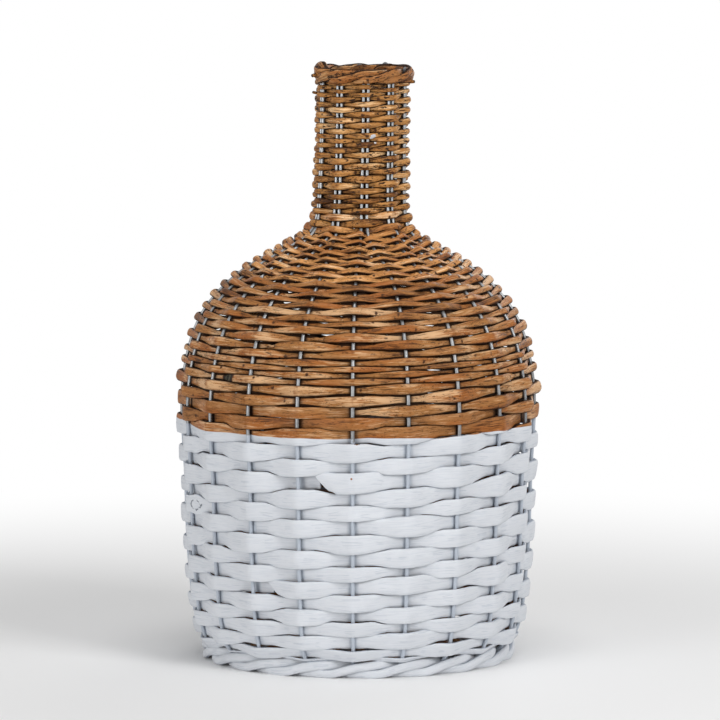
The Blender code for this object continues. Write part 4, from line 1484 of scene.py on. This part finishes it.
end_section = section_curve("end_section", 0.85, 2.1)
for number, (start, stop, width) in enumerate(ENDS):
    shares = END_SHARES[:, None]
    places = np.array(start) * (1 - shares) + np.array(stop) * shares
    flat = np.zeros(len(places))
    marks = {"cut": fade(END_SHARES, 0.9, 1.0), "tone": flat + 0.3}
    rng = random.Random(60 + number)
    label = f"willow_end_{number + 1}"
    end = sweep(label, places, width * END_WIDTHS, flat, end_section, marks, rng, END_RIDGE)
    hand_over(end, ROD_FINISHES["neck"])
print("rod ends:", len(ENDS))

# %% [markdown]
# ## The base
# Under the vase the legs of the wires turn in as spokes, ten long and ten short, and two broad
# rods are woven round them from the middle out. The base is seldom seen, so its rods are broader
# and smoother than those of the wall. They are swept flat: a quarter turn of tilt lays the wide
# side of the section level.

# %% Weave the base
BASE_ROD_WIDTH = 0.0170
BASE_ROD_DEPTH_SHARE = 0.19
BASE_ROW_GAP = 0.0010
BASE_EDGE_GAP = 0.0010
BASE_SPIRAL_START = 4
BASE_SPACING = 0.003


def base_route(spiral):
    """[(place, phase)] of one of the two rods: over and under long spokes, then over and under all."""
    offset = WIRE_RADIUS + WEAVE_CLEARANCE + BASE_ROD_DEPTH_SHARE * BASE_ROD_WIDTH / 2
    first = LONG_SPOKE_INNER_RADIUS + BASE_ROD_WIDTH / 2
    last = FOOT_RADIUS - FOOT_BEND_RADIUS - BASE_EDGE_GAP - BASE_ROD_WIDTH / 2
    route = []
    leg = begin = BASE_SPIRAL_START + spiral * HAIRPINS
    while True:
        radius = first + BASE_ROD_WIDTH * (leg - begin) / HAIRPINS
        if radius > last:
            return route
        single = radius > SHORT_SPOKE_INNER_RADIUS - BASE_ROD_WIDTH / 2
        if single or leg % 2 == 0:
            below = (leg + spiral) % 2 == 0 if single else (leg // 2 + spiral) % 2 == 0
            height = SPOKE_HEIGHT + (-offset if below else offset)
            route.append((placed(radius, leg_angle(leg, radius, 0.0), height), 1.0 if below else -1.0))
        leg += 1


base_section = section_curve("base_section", BASE_ROD_DEPTH_SHARE, 2.4)
for spiral in range(2):
    rng = random.Random(90 + spiral)
    places, rest, knots = rounded_path(base_route(spiral), 0.003)
    at_all = np.arange(len(places)) * STEP
    at = np.linspace(0.0, knots[-1] - STEP, int(knots[-1] / BASE_SPACING))
    places = read_columns(at, at_all, places)
    phase = np.interp(at, at_all, rest[:, 0])
    widths = (BASE_ROD_WIDTH - BASE_ROW_GAP) * (1 + 0.03 * wander(at, 0.03, rng))
    tone = 0.5 + 0.2 * wander(at, 0.05, rng)
    # Painted shade: the tuck mark darkens a rod where it goes under a spoke.
    marks = {"crest": np.clip(phase, 0, 1) * 0.3, "tuck": np.clip(-phase, 0, 1) * 0.3, "tone": tone}
    level = np.full(len(at), math.pi / 2)
    piece = sweep(f"base_willow_{spiral + 1}", places, widths, level, base_section, marks, rng)
    hand_over(piece, ROD_FINISHES["painted"], f"base_rod_{spiral + 1}")
print("base rods: 2, rings in one:", len(at))

# %% Put the section curves away
for shape in [o for o in bpy.data.objects if o.name.endswith("_section")]:
    bpy.data.objects.remove(shape)
